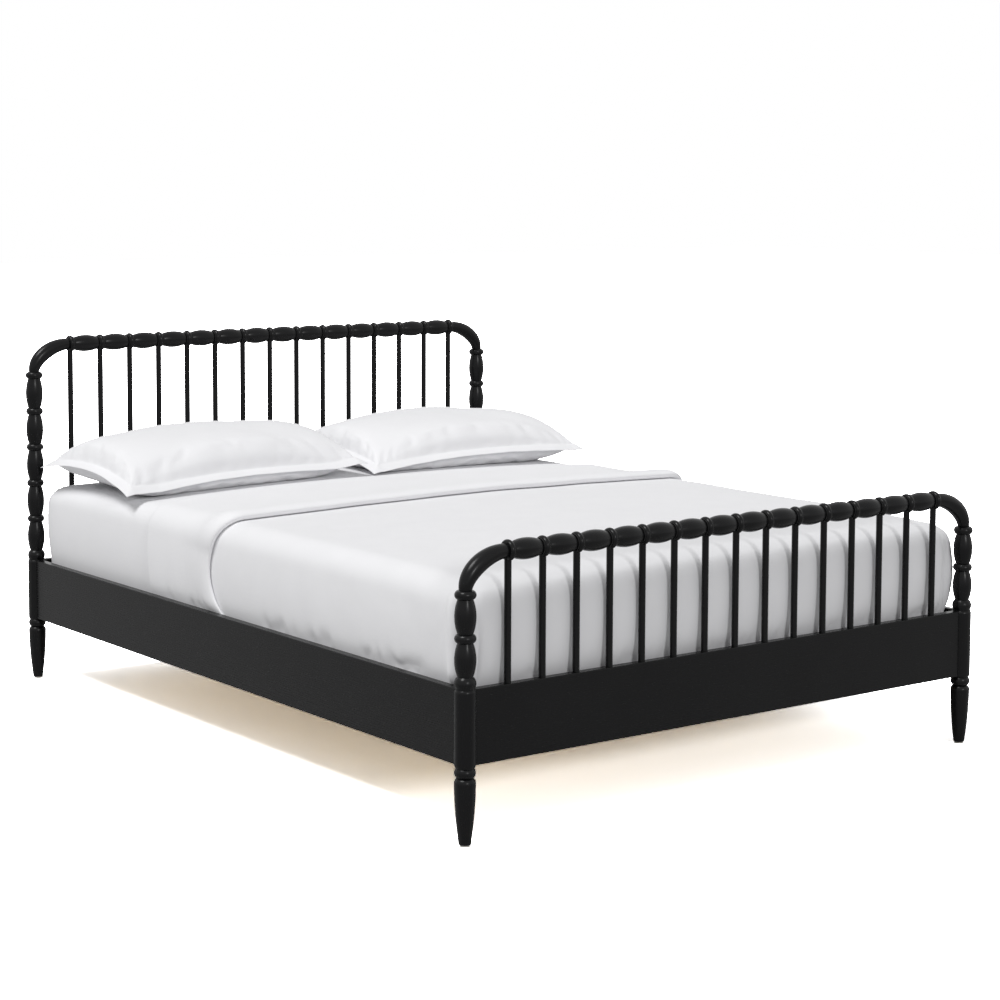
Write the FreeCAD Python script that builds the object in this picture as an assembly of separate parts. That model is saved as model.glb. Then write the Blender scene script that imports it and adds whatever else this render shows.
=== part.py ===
import FreeCAD, Part
import math
import os

from FreeCAD import Rotation, Vector

# A spindle bed: bobbin-turned posts and top rails joined by bent elbows, plain dowel spindles,
# flat panels and side rails, a slatted base, and the mattress with its made-up bedding.
#
# Millimetres. +X is the bed's right side seen from the foot, +Y points to the headboard, +Z is up.
# The origin is on the floor under the middle of the bed.

# ---------------------------------------------------------------- driving dimensions

POST_SPACING_X = 1562.0         # between post axes, across the bed
POST_SPACING_Y = 2066.0         # between post axes, along the bed
WOOD_CLEARANCE = 0.15           # all round a tenon, a dowel or a spindle in its hole
SOFT_CLEARANCE = 0.3            # between a soft piece and whatever it lies on or passes
CUT_OVER = 1.0                  # how far a cut runs on past the face that it opens

# turnery shared by posts and top rails
TURNING_R = 24.0                # beads, bobbins and the plain column
TURNING_CUTS = 4                # straight cuts that make one bead or bobbin
NECK_R = 17.3                   # where a bobbin meets a bead
BEAD_H = 19.6                   # a bead on a post, from neck to neck
COLLAR_R = 21.8                 # groove between the column and the lowest bead
COLLAR_H = 4.4
LOW_BEAD_H = 23.6               # the lowest bead is taller than the others
SHOULDER_H = 7.0                # rounding at the top of the column
SOFT_ROUND = 0.11               # how far a column's end rounding bulges, as a share of its height
FULL_ROUND = 0.17               # and the leg's shoulder

# leg below the column
RAIL_FROM_FLOOR = 176.0         # underside of side rails and panels
GROOVE_BELOW_RAIL = 5.0         # centre of the groove under the column, below the rails
GROOVE_R = 20.4
COLUMN_ROUND_H = 9.0            # rounding at the foot of the column
LEG_RING_H = 21.0               # ring between the groove and the leg's neck
LEG_NECK_R = 18.2
LEG_SHOULDER_H = 13.0           # rounding from the neck down to the widest part of the leg
LEG_FOOT_R = 13.8
LEG_MID_R = 20.9                # half way up the taper
LEG_EDGE = 1.5                  # eased edge round the foot

# head and foot ends
HEAD_BOBBINS = 5                # on each head post
HEAD_BOBBIN_PITCH = 102.3
FOOT_BOBBINS = 2
FOOT_BOBBIN_PITCH = 94.3
ELBOW_RISE = 85.2               # from the top bead's centre to the top rail's axis
ELBOW_RUN = 113.5               # from the post's axis to the first ring
ELBOW_LOW_R = 14.5              # where the elbow leaves the top bead
ELBOW_MID_R = 20.2              # the elbow swells like a bobbin
ELBOW_END_R = 15.6              # where it meets the first ring
BEND_REACH = 0.5                # how far the bend follows its ends' directions; 0.55 is a quarter circle
ELBOW_SECTIONS = 9
TENON_R = 6.0                   # round tenons on both ends of an elbow
TENON_L = 18.0

# rings and bobbins of the top rails
SPINDLES = 15                   # one under each ring
RING_H = 13.0                   # main bead of a ring, along the rail
RING_EDGE_R = 19.8              # where the bead runs out into its square fillets
FILLET_H = 3.6                  # width of a fillet
SPINDLE_R = 8.0
SPINDLE_SOCKET = 12.0           # depth in the panel's top edge
SPINDLE_IN_RING = 15.0          # depth in the ring's underside

# panels and side rails
RAIL_T = 22.0
RAIL_H = 166.0
RAIL_EASE = 2.0                 # rounded top edges
RAIL_TENON_T = 12.0
RAIL_TENON_H = 110.0
RAIL_TENON_L = 12.0             # how far a rail's tenon goes into the post

# slatted base
SLATS = 13
SLAT_W = 80.0
SLAT_T = 20.0
SLAT_END_GAP = 2.0              # between a slat's end and the side rail
SLAT_TOP_BELOW_RAIL = 52.0
CLEAT_W = 25.0
CLEAT_H = 38.0
CLEAT_GAP = 28.0                # between a corner bracket and the cleat's end
BEAM_W = 36.0
BEAM_H = 60.0
BEAM_END_GAP = 1.0
REST_W = 96.0                   # notched blocks that carry the beam's ends
REST_D = 30.0
REST_H = 50.0
REST_NOTCH = 28.0
CENTRE_LEG_Y = 350.0            # either side of the middle
CENTRE_LEG_TOP_R = 21.0
CENTRE_LEG_FOOT_R = 15.0
STUD_R = 4.0
STUD_L = 30.0

# glides under every leg
GLIDE_R = 11.0
GLIDE_H = 4.0
GLIDE_PIN_R = 2.0
GLIDE_PIN_L = 12.0

# knock-down hardware in the four inner corners
BRACKET_T = 3.0
BRACKET_H = 100.0
BRACKET_FLANGE = 42.0
BRACKET_BEND = 45.0             # degrees at each of its two bends
BRACKET_FROM_POST = 62.0        # from the post's axis to where the bracket leaves the rail
BOLT_R = 3.0
BOLT_L = 14.0                   # depth in the wood
BOLT_HEAD_AF = 10.0             # across flats
BOLT_HEAD_H = 4.0
BOLT_SPACING = 60.0

# mattress and bedding
MATTRESS_SIDE_GAP = 14.0        # to each side rail
MATTRESS_END_GAP = 22.0         # to each panel
MATTRESS_H = 288.0              # at the middle of its crown
MATTRESS_CROWN = 14.0           # rise of the middle over the long edges
END_CROWN = 6.0                 # and over the short edges
MATTRESS_EDGE_R = 48.0
MATTRESS_CORNER_R = 70.0
SHEET_T = 1.2
COVERLET_T = 4.0                # on the sides
COVERLET_LOFT = 5.5             # on top
CUFF_T = 2.4                    # folded sheet, on the sides
CUFF_LOFT = 12.0                # on top, where it lies in a soft roll
CUFF_DEPTH = 414.0              # of the folded-back sheet, along the bed
FOLD_FROM_PILLOWS = 110.0       # from the pillows' front tips to the fold
FOLD_T = 6.0
BEDDING_HEM = 8.0               # hems end this far above the slats

# pillows
PILLOW_L = 784.0                # tip to tip, flange included
PILLOW_D = 496.0
PILLOW_FLANGE = 26.0
FLANGE_T = 2.4
PILLOW_CROWN = 112.0            # above the seam
PILLOW_BELLY = 60.0             # below the seam, before the mattress flattens it
PILLOW_DRAW_IN = 14.0           # how far the sides pull in between the corners
PILLOW_FROM_PANEL = 34.0        # from the head panel to the pillows' back edges
PILLOW_SEAM_H = 36.7            # the seam's middle over the top of the mattress
PILLOW_TILT = 4.0               # degrees, back edge up
PILLOW_TIP_T = 1.6              # thickness where the body runs out into the flange
PILLOW_FULLNESS = 0.33          # lower is fuller towards the seam
PILLOW_SQUARE_L = 2.5           # higher keeps the middle flatter along the length
PILLOW_SQUARE_D = 2.8           # and across it
PILLOWS = {"left": (-395.0, 2.0), "right": (408.0, 1.0)}   # centre in X, degrees of roll

# ---------------------------------------------------------------- places worked out from them

HALF_X = POST_SPACING_X / 2
HALF_Y = POST_SPACING_Y / 2
RAIL_TOP = RAIL_FROM_FLOOR + RAIL_H
GROOVE_Z = RAIL_FROM_FLOOR - GROOVE_BELOW_RAIL
LEG_NECK_Z = GROOVE_Z - LEG_RING_H
LOW_BEAD_Z = RAIL_TOP + COLLAR_H + LOW_BEAD_H / 2
RAIL_INNER_X = HALF_X - RAIL_T / 2
PANEL_INNER_Y = HALF_Y - RAIL_T / 2
DECK_Z = RAIL_TOP - SLAT_TOP_BELOW_RAIL
CLEAT_TOP = DECK_Z - SLAT_T
MATTRESS_X = 2 * (RAIL_INNER_X - MATTRESS_SIDE_GAP)
MATTRESS_Y = 2 * (PANEL_INNER_Y - MATTRESS_END_GAP)
MATTRESS_BOTTOM = DECK_Z + SOFT_CLEARANCE
MATTRESS_TOP = MATTRESS_BOTTOM + MATTRESS_H
PILLOW_FRONT_Y = PANEL_INNER_Y - PILLOW_FROM_PANEL - PILLOW_D
FOLD_Y = PILLOW_FRONT_Y - FOLD_FROM_PILLOWS
CUFF_EDGE_Y = FOLD_Y - CUFF_DEPTH
CLEAT_FROM_POST = BRACKET_FROM_POST + BRACKET_FLANGE + CLEAT_GAP
BOARD_MIDDLE_Z = RAIL_FROM_FLOOR + RAIL_H / 2
ENDS = {
    "head": (HALF_Y, HEAD_BOBBINS, HEAD_BOBBIN_PITCH),
    "foot": (-HALF_Y, FOOT_BOBBINS, FOOT_BOBBIN_PITCH),
}
SIDES = {"left": -1, "right": 1}
CORNERS = [(end, side) for end in ENDS for side in SIDES]
SPINDLE_PITCH = (POST_SPACING_X - 2 * ELBOW_RUN) / (SPINDLES - 1)


def top_bead_z(end):
    """Centre of a post's highest bead."""
    _, bobbins, pitch = ENDS[end]
    return LOW_BEAD_Z + bobbins * pitch


def rail_axis_z(end):
    return top_bead_z(end) + ELBOW_RISE


# ---------------------------------------------------------------- drawing and turning

class Profile:
    """Half a lathe profile in the XZ plane: X is the radius, Z the distance along the axis."""

    def __init__(self, z):
        self.at = Vector(0, 0, z)
        self.edges = []

    def line(self, r, z):
        end = Vector(r, 0, z)
        self.edges.append(Part.LineSegment(self.at, end).toShape())
        self.at = end

    def arc(self, via, r, z):
        """A rounded turn through via, made in straight cuts that all end on its arc."""
        curve = Part.Arc(self.at, Vector(via[0], 0, via[1]), Vector(r, 0, z)).toShape()
        for point in curve.discretize(TURNING_CUTS + 1)[1:]:
            self.line(point.x, point.z)

    def quarter(self, r, z, out):
        """A rounding from here to (r, z) that bulges outwards; out is its fullness."""
        middle_r = (self.at.x + r) / 2 + out * abs(z - self.at.z)
        self.arc((middle_r, (self.at.z + z) / 2), r, z)

    def turned(self):
        """The solid of revolution, once the profile has come back to the axis."""
        start = self.edges[0].Vertexes[0].Point
        self.edges.append(Part.LineSegment(self.at, start).toShape())
        face = Part.Face(Part.Wire(self.edges))
        return face.revolve(Vector(0, 0, 0), Vector(0, 0, 1), 360)


def box(x0, x1, y0, y1, z0, z1):
    return Part.makeBox(x1 - x0, y1 - y0, z1 - z0, Vector(x0, y0, z0))


def cylinder(r, length, at, axis=(0, 0, 1)):
    return Part.makeCylinder(r, length, Vector(*at), Vector(*axis))


def mirrored_x(shape):
    return shape.mirror(Vector(0, 0, 0), Vector(1, 0, 0))


def moved(shape, x, y, z=0):
    copy = shape.copy()
    copy.translate(Vector(x, y, z))
    return copy


def save(node, shape):
    shape.exportStep("parts/%s.step" % node)


# ---------------------------------------------------------------- posts

def draw_leg(profile):
    """From the floor up to the groove under the column: taper, shoulder, neck and ring."""
    widest_z = LEG_NECK_Z - LEG_SHOULDER_H
    foot_z = GLIDE_H + LEG_EDGE
    profile.line(LEG_FOOT_R - LEG_EDGE, GLIDE_H)
    profile.line(LEG_FOOT_R, foot_z)
    profile.arc((LEG_MID_R, (foot_z + widest_z) / 2), TURNING_R, widest_z)
    profile.quarter(LEG_NECK_R, LEG_NECK_Z, FULL_ROUND)
    profile.arc((TURNING_R, (LEG_NECK_Z + GROOVE_Z) / 2), GROOVE_R, GROOVE_Z)


def draw_column(profile):
    """The plain round stretch between the rails, then the collar groove."""
    profile.quarter(TURNING_R, GROOVE_Z + COLUMN_ROUND_H, SOFT_ROUND)
    profile.line(TURNING_R, RAIL_TOP - SHOULDER_H)
    profile.quarter(COLLAR_R, RAIL_TOP, SOFT_ROUND)
    profile.line(COLLAR_R, RAIL_TOP + COLLAR_H)


def draw_bobbins(profile, bobbins, pitch):
    """The tall lowest bead, then bobbins and beads in turn up to the top bead."""
    profile.arc((TURNING_R, LOW_BEAD_Z), NECK_R, LOW_BEAD_Z + LOW_BEAD_H / 2)
    for number in range(bobbins):
        bead_z = LOW_BEAD_Z + (number + 1) * pitch
        neck_z = bead_z - BEAD_H / 2
        profile.arc((TURNING_R, (profile.at.z + neck_z) / 2), NECK_R, neck_z)
        profile.arc((TURNING_R, bead_z), NECK_R, bead_z + BEAD_H / 2)


def rail_mortises(end, side):
    """Slots in the column for the panel's and the side rail's tenons, at the post's own axis."""
    reach = TURNING_R + CUT_OVER
    depth = TURNING_R - RAIL_TENON_L - WOOD_CLEARANCE
    half_t = RAIL_TENON_T / 2 + WOOD_CLEARANCE
    low = BOARD_MIDDLE_Z - RAIL_TENON_H / 2 - WOOD_CLEARANCE
    high = BOARD_MIDDLE_Z + RAIL_TENON_H / 2 + WOOD_CLEARANCE
    for_panel = box(depth, reach, -half_t, half_t, low, high)
    for_rail = box(-half_t, half_t, depth, reach, low, high)
    if SIDES[side] > 0:
        for_panel = mirrored_x(for_panel)
    if end == "head":
        for_rail = for_rail.mirror(Vector(0, 0, 0), Vector(0, 1, 0))
    return for_panel.fuse(for_rail)


def post(end, side):
    end_y, bobbins, pitch = ENDS[end]
    top = top_bead_z(end) + BEAD_H / 2
    profile = Profile(GLIDE_H)
    draw_leg(profile)
    draw_column(profile)
    draw_bobbins(profile, bobbins, pitch)
    profile.line(0, top)
    shape = profile.turned()
    shape = shape.cut(rail_mortises(end, side))
    socket_l = TENON_L + WOOD_CLEARANCE
    shape = shape.cut(cylinder(TENON_R + WOOD_CLEARANCE, socket_l, (0, 0, top - socket_l)))
    shape = shape.cut(cylinder(GLIDE_PIN_R + WOOD_CLEARANCE, GLIDE_PIN_L + WOOD_CLEARANCE, (0, 0, GLIDE_H)))
    return moved(shape, SIDES[side] * HALF_X, end_y)


# ---------------------------------------------------------------- elbows

def bend_point(t, run, rise):
    """A point of the elbow's centre line and its direction; t runs from 0 at the post to 1 at the rail."""
    curve = Part.BezierCurve()
    curve.setPoles([
        Vector(0, 0, 0), Vector(0, 0, rise * BEND_REACH),
        Vector(run * (1 - BEND_REACH), 0, rise), Vector(run, 0, rise),
    ])
    return curve.value(t), curve.tangent(t)[0]


def elbow_radius(t):
    """Slender at both ends and full in the middle."""
    ends = ELBOW_LOW_R + (ELBOW_END_R - ELBOW_LOW_R) * t
    return ends + (ELBOW_MID_R - (ELBOW_LOW_R + ELBOW_END_R) / 2) * math.sin(math.pi * t)


def elbow(end, side):
    """The bent, swelling piece from the post's top bead to the rail's first ring, with its tenons.
    The hole for the first spindle is wider than its ring, so it nicks the elbow's end."""
    run = ELBOW_RUN - RING_H / 2
    rise = ELBOW_RISE - BEAD_H / 2
    sections = []
    for number in range(ELBOW_SECTIONS):
        t = number / (ELBOW_SECTIONS - 1)
        centre, direction = bend_point(t, run, rise)
        circle = Part.Circle(centre, direction, elbow_radius(t))
        sections.append(Part.Wire(circle.toShape()))
    shape = Part.makeLoft(sections, True, True)
    shape = shape.fuse(cylinder(TENON_R, TENON_L, (0, 0, -TENON_L)))
    shape = shape.fuse(cylinder(TENON_R, TENON_L, (run, 0, rise), (1, 0, 0)))
    shape = moved(shape, -HALF_X, ENDS[end][0], top_bead_z(end) + BEAD_H / 2)
    shape = shape.cut(ring_hole(end, 0))
    if SIDES[side] > 0:
        shape = mirrored_x(shape)
    return shape


# ---------------------------------------------------------------- top rails and spindles

def spindle_x(number):
    return -HALF_X + ELBOW_RUN + number * SPINDLE_PITCH


def ring_hole(end, number):
    """The hole drilled up into a ring for its spindle."""
    low = rail_axis_z(end) - TURNING_R
    length = CUT_OVER + SPINDLE_IN_RING + WOOD_CLEARANCE
    return cylinder(SPINDLE_R + WOOD_CLEARANCE, length, (spindle_x(number), ENDS[end][0], low - CUT_OVER))


def top_rail(end):
    """Rings over the spindles with bobbins between them, turned about Z and then laid along X."""
    profile = Profile(-RING_H / 2)
    profile.line(RING_EDGE_R, -RING_H / 2)
    profile.arc((TURNING_R, 0), RING_EDGE_R, RING_H / 2)
    for number in range(1, SPINDLES):
        start = profile.at.z + FILLET_H
        ring_z = number * SPINDLE_PITCH
        finish = ring_z - RING_H / 2 - FILLET_H
        profile.line(RING_EDGE_R, start)
        profile.line(NECK_R, start)
        profile.arc((TURNING_R, (start + finish) / 2), NECK_R, finish)
        profile.line(RING_EDGE_R, finish)
        profile.line(RING_EDGE_R, ring_z - RING_H / 2)
        profile.arc((TURNING_R, ring_z), RING_EDGE_R, ring_z + RING_H / 2)
    length = (SPINDLES - 1) * SPINDLE_PITCH
    profile.line(0, length + RING_H / 2)
    shape = profile.turned()
    shape.rotate(Vector(0, 0, 0), Vector(0, 1, 0), 90)
    tenon_l = TENON_L + WOOD_CLEARANCE
    tenon_r = TENON_R + WOOD_CLEARANCE
    shape = shape.cut(cylinder(tenon_r, tenon_l, (-RING_H / 2, 0, 0), (1, 0, 0)))
    shape = shape.cut(cylinder(tenon_r, tenon_l, (length + RING_H / 2, 0, 0), (-1, 0, 0)))
    shape = moved(shape, spindle_x(0), ENDS[end][0], rail_axis_z(end))
    return shape.cut([ring_hole(end, number) for number in range(SPINDLES)])


def spindle(end, number):
    """A plain dowel from its socket in the panel's top edge up into the ring."""
    bottom = RAIL_TOP - SPINDLE_SOCKET
    top = rail_axis_z(end) - TURNING_R + SPINDLE_IN_RING
    return cylinder(SPINDLE_R, top - bottom, (spindle_x(number), ENDS[end][0], bottom))


# ---------------------------------------------------------------- panels and side rails

def board(half_length):
    """A board along X with eased top edges, ends coped to the round posts, and a tenon at each end."""
    half_t = RAIL_T / 2
    shape = box(-half_length, half_length, -half_t, half_t, RAIL_FROM_FLOOR, RAIL_TOP)
    top_edges = [
        edge for edge in shape.Edges
        if abs(edge.BoundBox.ZMin - RAIL_TOP) < 0.01 and edge.BoundBox.XLength > half_length
    ]
    shape = shape.makeFillet(RAIL_EASE, top_edges)
    for x in (-half_length, half_length):
        cope = cylinder(TURNING_R + WOOD_CLEARANCE, RAIL_H, (x, 0, RAIL_FROM_FLOOR))
        shape = shape.cut(cope)
    reach = half_length - TURNING_R + RAIL_TENON_L
    tenon = box(
        -reach, reach, -RAIL_TENON_T / 2, RAIL_TENON_T / 2,
        BOARD_MIDDLE_Z - RAIL_TENON_H / 2, BOARD_MIDDLE_Z + RAIL_TENON_H / 2,
    )
    return shape.fuse(tenon).removeSplitter()


def panel(end):
    """The board under a row of spindles, with a blind hole for each and for the corner bolts."""
    shape = board(HALF_X)
    hole_r = SPINDLE_R + WOOD_CLEARANCE
    holes = [
        cylinder(hole_r, SPINDLE_SOCKET + CUT_OVER, (spindle_x(number), 0, RAIL_TOP - SPINDLE_SOCKET))
        for number in range(SPINDLES)
    ]
    shape = moved(shape.cut(holes), 0, ENDS[end][0])
    return shape.cut(bolt_holes(end))


def side_rail(side):
    shape = board(HALF_Y)
    shape.rotate(Vector(0, 0, 0), Vector(0, 0, 1), 90)
    shape = moved(shape, SIDES[side] * HALF_X, 0)
    for end in ENDS:
        shape = shape.cut(bolt_holes(end))
    return shape


# ---------------------------------------------------------------- corner brackets and bolts

def corner_placed(shape, end, side):
    """Moves a shape drawn for the left foot corner, at the post's axis, to the given corner."""
    placed = moved(shape, -HALF_X, -HALF_Y)
    if SIDES[side] > 0:
        placed = mirrored_x(placed)
    if end == "head":
        placed = placed.mirror(Vector(0, 0, 0), Vector(0, 1, 0))
    return placed


def bracket():
    """A strip bent twice: a flange on the side rail, a web across the corner, a flange on the panel."""
    wall = RAIL_T / 2
    near = BRACKET_FROM_POST
    far = BRACKET_FROM_POST + BRACKET_FLANGE
    bend = BRACKET_T * math.tan(math.radians(BRACKET_BEND / 2))
    outline = [
        (wall, far), (wall, near), (near, wall), (far, wall),
        (far, wall + BRACKET_T), (near + bend, wall + BRACKET_T),
        (wall + BRACKET_T, near + bend), (wall + BRACKET_T, far),
    ]
    points = [Vector(x, y, BOARD_MIDDLE_Z - BRACKET_H / 2) for x, y in outline]
    face = Part.Face(Part.makePolygon(points + points[:1]))
    plate = face.extrude(Vector(0, 0, BRACKET_H))
    hole_r = BOLT_R + WOOD_CLEARANCE
    holes = [on_bolt_line(place, hole_r, -CUT_OVER, BRACKET_T + CUT_OVER) for place in bolt_places()]
    return plate.cut(holes)


def bolt_places():
    """Each bolt of a corner: where it meets the wood, and the direction that points out of the wood."""
    wall = RAIL_T / 2
    along = BRACKET_FROM_POST + BRACKET_FLANGE / 2
    heights = [BOARD_MIDDLE_Z - BOLT_SPACING / 2, BOARD_MIDDLE_Z + BOLT_SPACING / 2]
    on_rail = [(Vector(wall, along, z), Vector(1, 0, 0)) for z in heights]
    on_panel = [(Vector(along, wall, z), Vector(0, 1, 0)) for z in heights]
    return on_rail + on_panel


def on_bolt_line(place, r, low, high):
    """A cylinder along a bolt, between two heights over the wood's face."""
    point, out = place
    return Part.makeCylinder(r, high - low, point + out * low, out)


def bolt(place):
    """A hex-head machine bolt whose head clamps the bracket."""
    point, out = place
    shank = on_bolt_line(place, BOLT_R, -BOLT_L, BRACKET_T)
    corner = Vector(BOLT_HEAD_AF / 2 / math.cos(math.radians(30)), 0, 0)
    turns = [Rotation(Vector(0, 0, 1), 60 * k) for k in range(7)]
    hexagon = Part.Face(Part.makePolygon([turn.multVec(corner) for turn in turns]))
    head = hexagon.extrude(Vector(0, 0, BOLT_HEAD_H))
    head.Placement = FreeCAD.Placement(point + out * BRACKET_T, Rotation(Vector(0, 0, 1), out))
    return shank.fuse(head)


def bolt_holes(end):
    """Threaded holes in the wood at both corners of one end of the bed."""
    holes = []
    for side in SIDES:
        for place in bolt_places():
            hole = on_bolt_line(place, BOLT_R + WOOD_CLEARANCE, -BOLT_L - WOOD_CLEARANCE, 0)
            holes.append(corner_placed(hole, end, side))
    return holes


def corner_group(make):
    """One shape with a copy in each of the four corners."""
    solids = []
    for end, side in CORNERS:
        for shape in make():
            solids += corner_placed(shape, end, side).Solids
    return Part.makeCompound(solids)


# ---------------------------------------------------------------- slatted base

def cleat(side):
    """A ledger on the side rail's inner face that carries the slats' ends."""
    half_y = HALF_Y - CLEAT_FROM_POST
    shape = box(RAIL_INNER_X - CLEAT_W, RAIL_INNER_X, -half_y, half_y, CLEAT_TOP - CLEAT_H, CLEAT_TOP)
    if SIDES[side] < 0:
        shape = mirrored_x(shape)
    return shape


def slats():
    half_x = RAIL_INNER_X - SLAT_END_GAP
    first = HALF_Y - CLEAT_FROM_POST - SLAT_W / 2
    step = 2 * first / (SLATS - 1)
    solids = []
    for number in range(SLATS):
        y = -first + number * step
        solids.append(box(-half_x, half_x, y - SLAT_W / 2, y + SLAT_W / 2, CLEAT_TOP, DECK_Z))
    return Part.makeCompound(solids)


def centre_beam():
    half_y = PANEL_INNER_Y - BEAM_END_GAP
    bottom = CLEAT_TOP - BEAM_H
    shape = box(-BEAM_W / 2, BEAM_W / 2, -half_y, half_y, bottom, CLEAT_TOP)
    holes = [
        cylinder(STUD_R + WOOD_CLEARANCE, STUD_L + WOOD_CLEARANCE, (0, y, bottom))
        for y in (-CENTRE_LEG_Y, CENTRE_LEG_Y)
    ]
    return shape.cut(holes)


def beam_rests():
    """Notched blocks glued to the panels; each notch holds an end of the beam."""
    notch_floor = CLEAT_TOP - BEAM_H
    bottom = notch_floor - REST_H + REST_NOTCH
    notch = BEAM_W / 2 + WOOD_CLEARANCE
    solids = []
    for sign in (-1, 1):
        y0 = min(sign * PANEL_INNER_Y, sign * (PANEL_INNER_Y - REST_D))
        block = box(-REST_W / 2, REST_W / 2, y0, y0 + REST_D, bottom, bottom + REST_H)
        block = block.cut(box(
            -notch, notch, y0 - CUT_OVER, y0 + REST_D + CUT_OVER,
            notch_floor, bottom + REST_H + CUT_OVER,
        ))
        solids += block.Solids
    return Part.makeCompound(solids)


def centre_legs():
    """Tapered legs under the beam, each held by a stud."""
    top = CLEAT_TOP - BEAM_H
    profile = Profile(GLIDE_H)
    profile.line(CENTRE_LEG_FOOT_R, GLIDE_H)
    profile.line(CENTRE_LEG_TOP_R, top)
    profile.line(STUD_R, top)
    profile.line(STUD_R, top + STUD_L)
    profile.line(0, top + STUD_L)
    leg = profile.turned()
    leg = leg.cut(cylinder(GLIDE_PIN_R + WOOD_CLEARANCE, GLIDE_PIN_L + WOOD_CLEARANCE, (0, 0, GLIDE_H)))
    return Part.makeCompound([moved(leg, 0, y) for y in (-CENTRE_LEG_Y, CENTRE_LEG_Y)])


def glides():
    """A nylon glide with its pin under each post and each centre leg."""
    disc = cylinder(GLIDE_R, GLIDE_H, (0, 0, 0))
    pin = cylinder(GLIDE_PIN_R, GLIDE_H + GLIDE_PIN_L, (0, 0, 0))
    glide = disc.fuse(pin).removeSplitter()
    places = [(SIDES[side] * HALF_X, ENDS[end][0]) for end, side in CORNERS]
    places += [(0, -CENTRE_LEG_Y), (0, CENTRE_LEG_Y)]
    return Part.makeCompound([moved(glide, x, y) for x, y in places])


# ---------------------------------------------------------------- mattress and bedding

def laid_over(under, side, top):
    """A layer's inner and outer faces, each as how far it lies outside the mattress: (sides, top)."""
    inner = (under[0] + SOFT_CLEARANCE, under[1] + SOFT_CLEARANCE)
    return inner, (inner[0] + side, inner[1] + top)


FITTED_IN, FITTED_OUT = laid_over((0, 0), SHEET_T, SHEET_T)
SHEET_IN, SHEET_OUT = laid_over(FITTED_OUT, SHEET_T, SHEET_T)
COVERLET_IN, COVERLET_OUT = laid_over(SHEET_OUT, COVERLET_T, COVERLET_LOFT)
CUFF_IN, CUFF_OUT = laid_over(COVERLET_OUT, CUFF_T, CUFF_LOFT)


def crowned_outline(half, low, high, crown):
    """A cushion's section: flat underneath, straight sides, round top edges and a crown between them."""
    edge_z = high - crown
    r = MATTRESS_EDGE_R
    shoulder = half - r
    a = Vector(-half, 0, low)
    b = Vector(half, 0, low)
    c = Vector(half, 0, edge_z - r)
    d = Vector(shoulder, 0, edge_z)
    e = Vector(-shoulder, 0, edge_z)
    f = Vector(-half, 0, edge_z - r)
    turn = r * math.sqrt(0.5)
    right = Vector(shoulder + turn, 0, edge_z - r + turn)
    left = Vector(-shoulder - turn, 0, edge_z - r + turn)
    return Part.Wire([
        Part.LineSegment(a, b).toShape(),
        Part.LineSegment(b, c).toShape(),
        Part.Arc(c, right, d).toShape(),
        Part.Arc(d, Vector(0, 0, high), e).toShape(),
        Part.Arc(e, left, f).toShape(),
        Part.LineSegment(f, a).toShape(),
    ])


def bed_form(grow_side, grow_top, low):
    """The mattress's form grown outwards, cut off level at the given height."""
    half_x = MATTRESS_X / 2 + grow_side
    half_y = MATTRESS_Y / 2 + grow_side
    high = MATTRESS_TOP + grow_top
    across = Part.Face(crowned_outline(half_x, low, high, MATTRESS_CROWN))
    across = across.extrude(Vector(0, 2 * half_y, 0))
    across.translate(Vector(0, -half_y, 0))
    along = Part.Face(crowned_outline(half_y, low, high, END_CROWN))
    along.rotate(Vector(0, 0, 0), Vector(0, 0, 1), 90)
    along = along.extrude(Vector(2 * half_x, 0, 0))
    along.translate(Vector(-half_x, 0, 0))
    plan = box(-half_x, half_x, -half_y, half_y, low, high)
    uprights = [edge for edge in plan.Edges if edge.BoundBox.ZLength > 1]
    plan = plan.makeFillet(MATTRESS_CORNER_R + grow_side, uprights)
    return across.common(along).common(plan)


def sheet_layer(inner, outer, y0, y1):
    """The part of a shell between two grown forms that lies between y0 and y1."""
    hem = DECK_Z + BEDDING_HEM
    shell = bed_form(outer[0], outer[1], hem).cut(bed_form(inner[0], inner[1], hem - CUT_OVER))
    return shell.common(box(-HALF_X, HALF_X, y0, y1, 0, 2 * MATTRESS_TOP))


def fitted_sheet():
    return sheet_layer(FITTED_IN, FITTED_OUT, -HALF_Y, HALF_Y)


def top_sheet():
    """The flat sheet: under the coverlet to the foot, and folded back over the coverlet's head edge."""
    under = sheet_layer(SHEET_IN, SHEET_OUT, -HALF_Y, FOLD_Y)
    fold = sheet_layer(SHEET_IN, CUFF_OUT, FOLD_Y - FOLD_T, FOLD_Y)
    cuff = sheet_layer(CUFF_IN, CUFF_OUT, CUFF_EDGE_Y, FOLD_Y)
    return under.fuse([fold, cuff]).removeSplitter()


def coverlet():
    return sheet_layer(COVERLET_IN, COVERLET_OUT, -HALF_Y, FOLD_Y - FOLD_T - SOFT_CLEARANCE)


# ---------------------------------------------------------------- pillows

PILLOW_STATIONS = (-1.0, -0.94, -0.72, -0.36, 0.0, 0.36, 0.72, 0.94, 1.0)  # shares of a half size


def pillow_swell(share, squareness):
    """How far the filled case stands off its seam: 1 in the middle, 0 at the seam."""
    return (1 - abs(share) ** squareness) ** PILLOW_FULLNESS


def pillow_side(x, half_d, height):
    """The curve over one side of the filled case, from the front seam to the back seam."""
    curve = Part.BSplineCurve()
    curve.interpolate([
        Vector(x, share * half_d, height * pillow_swell(share, PILLOW_SQUARE_D))
        for share in PILLOW_STATIONS
    ])
    return curve.toShape()


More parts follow.
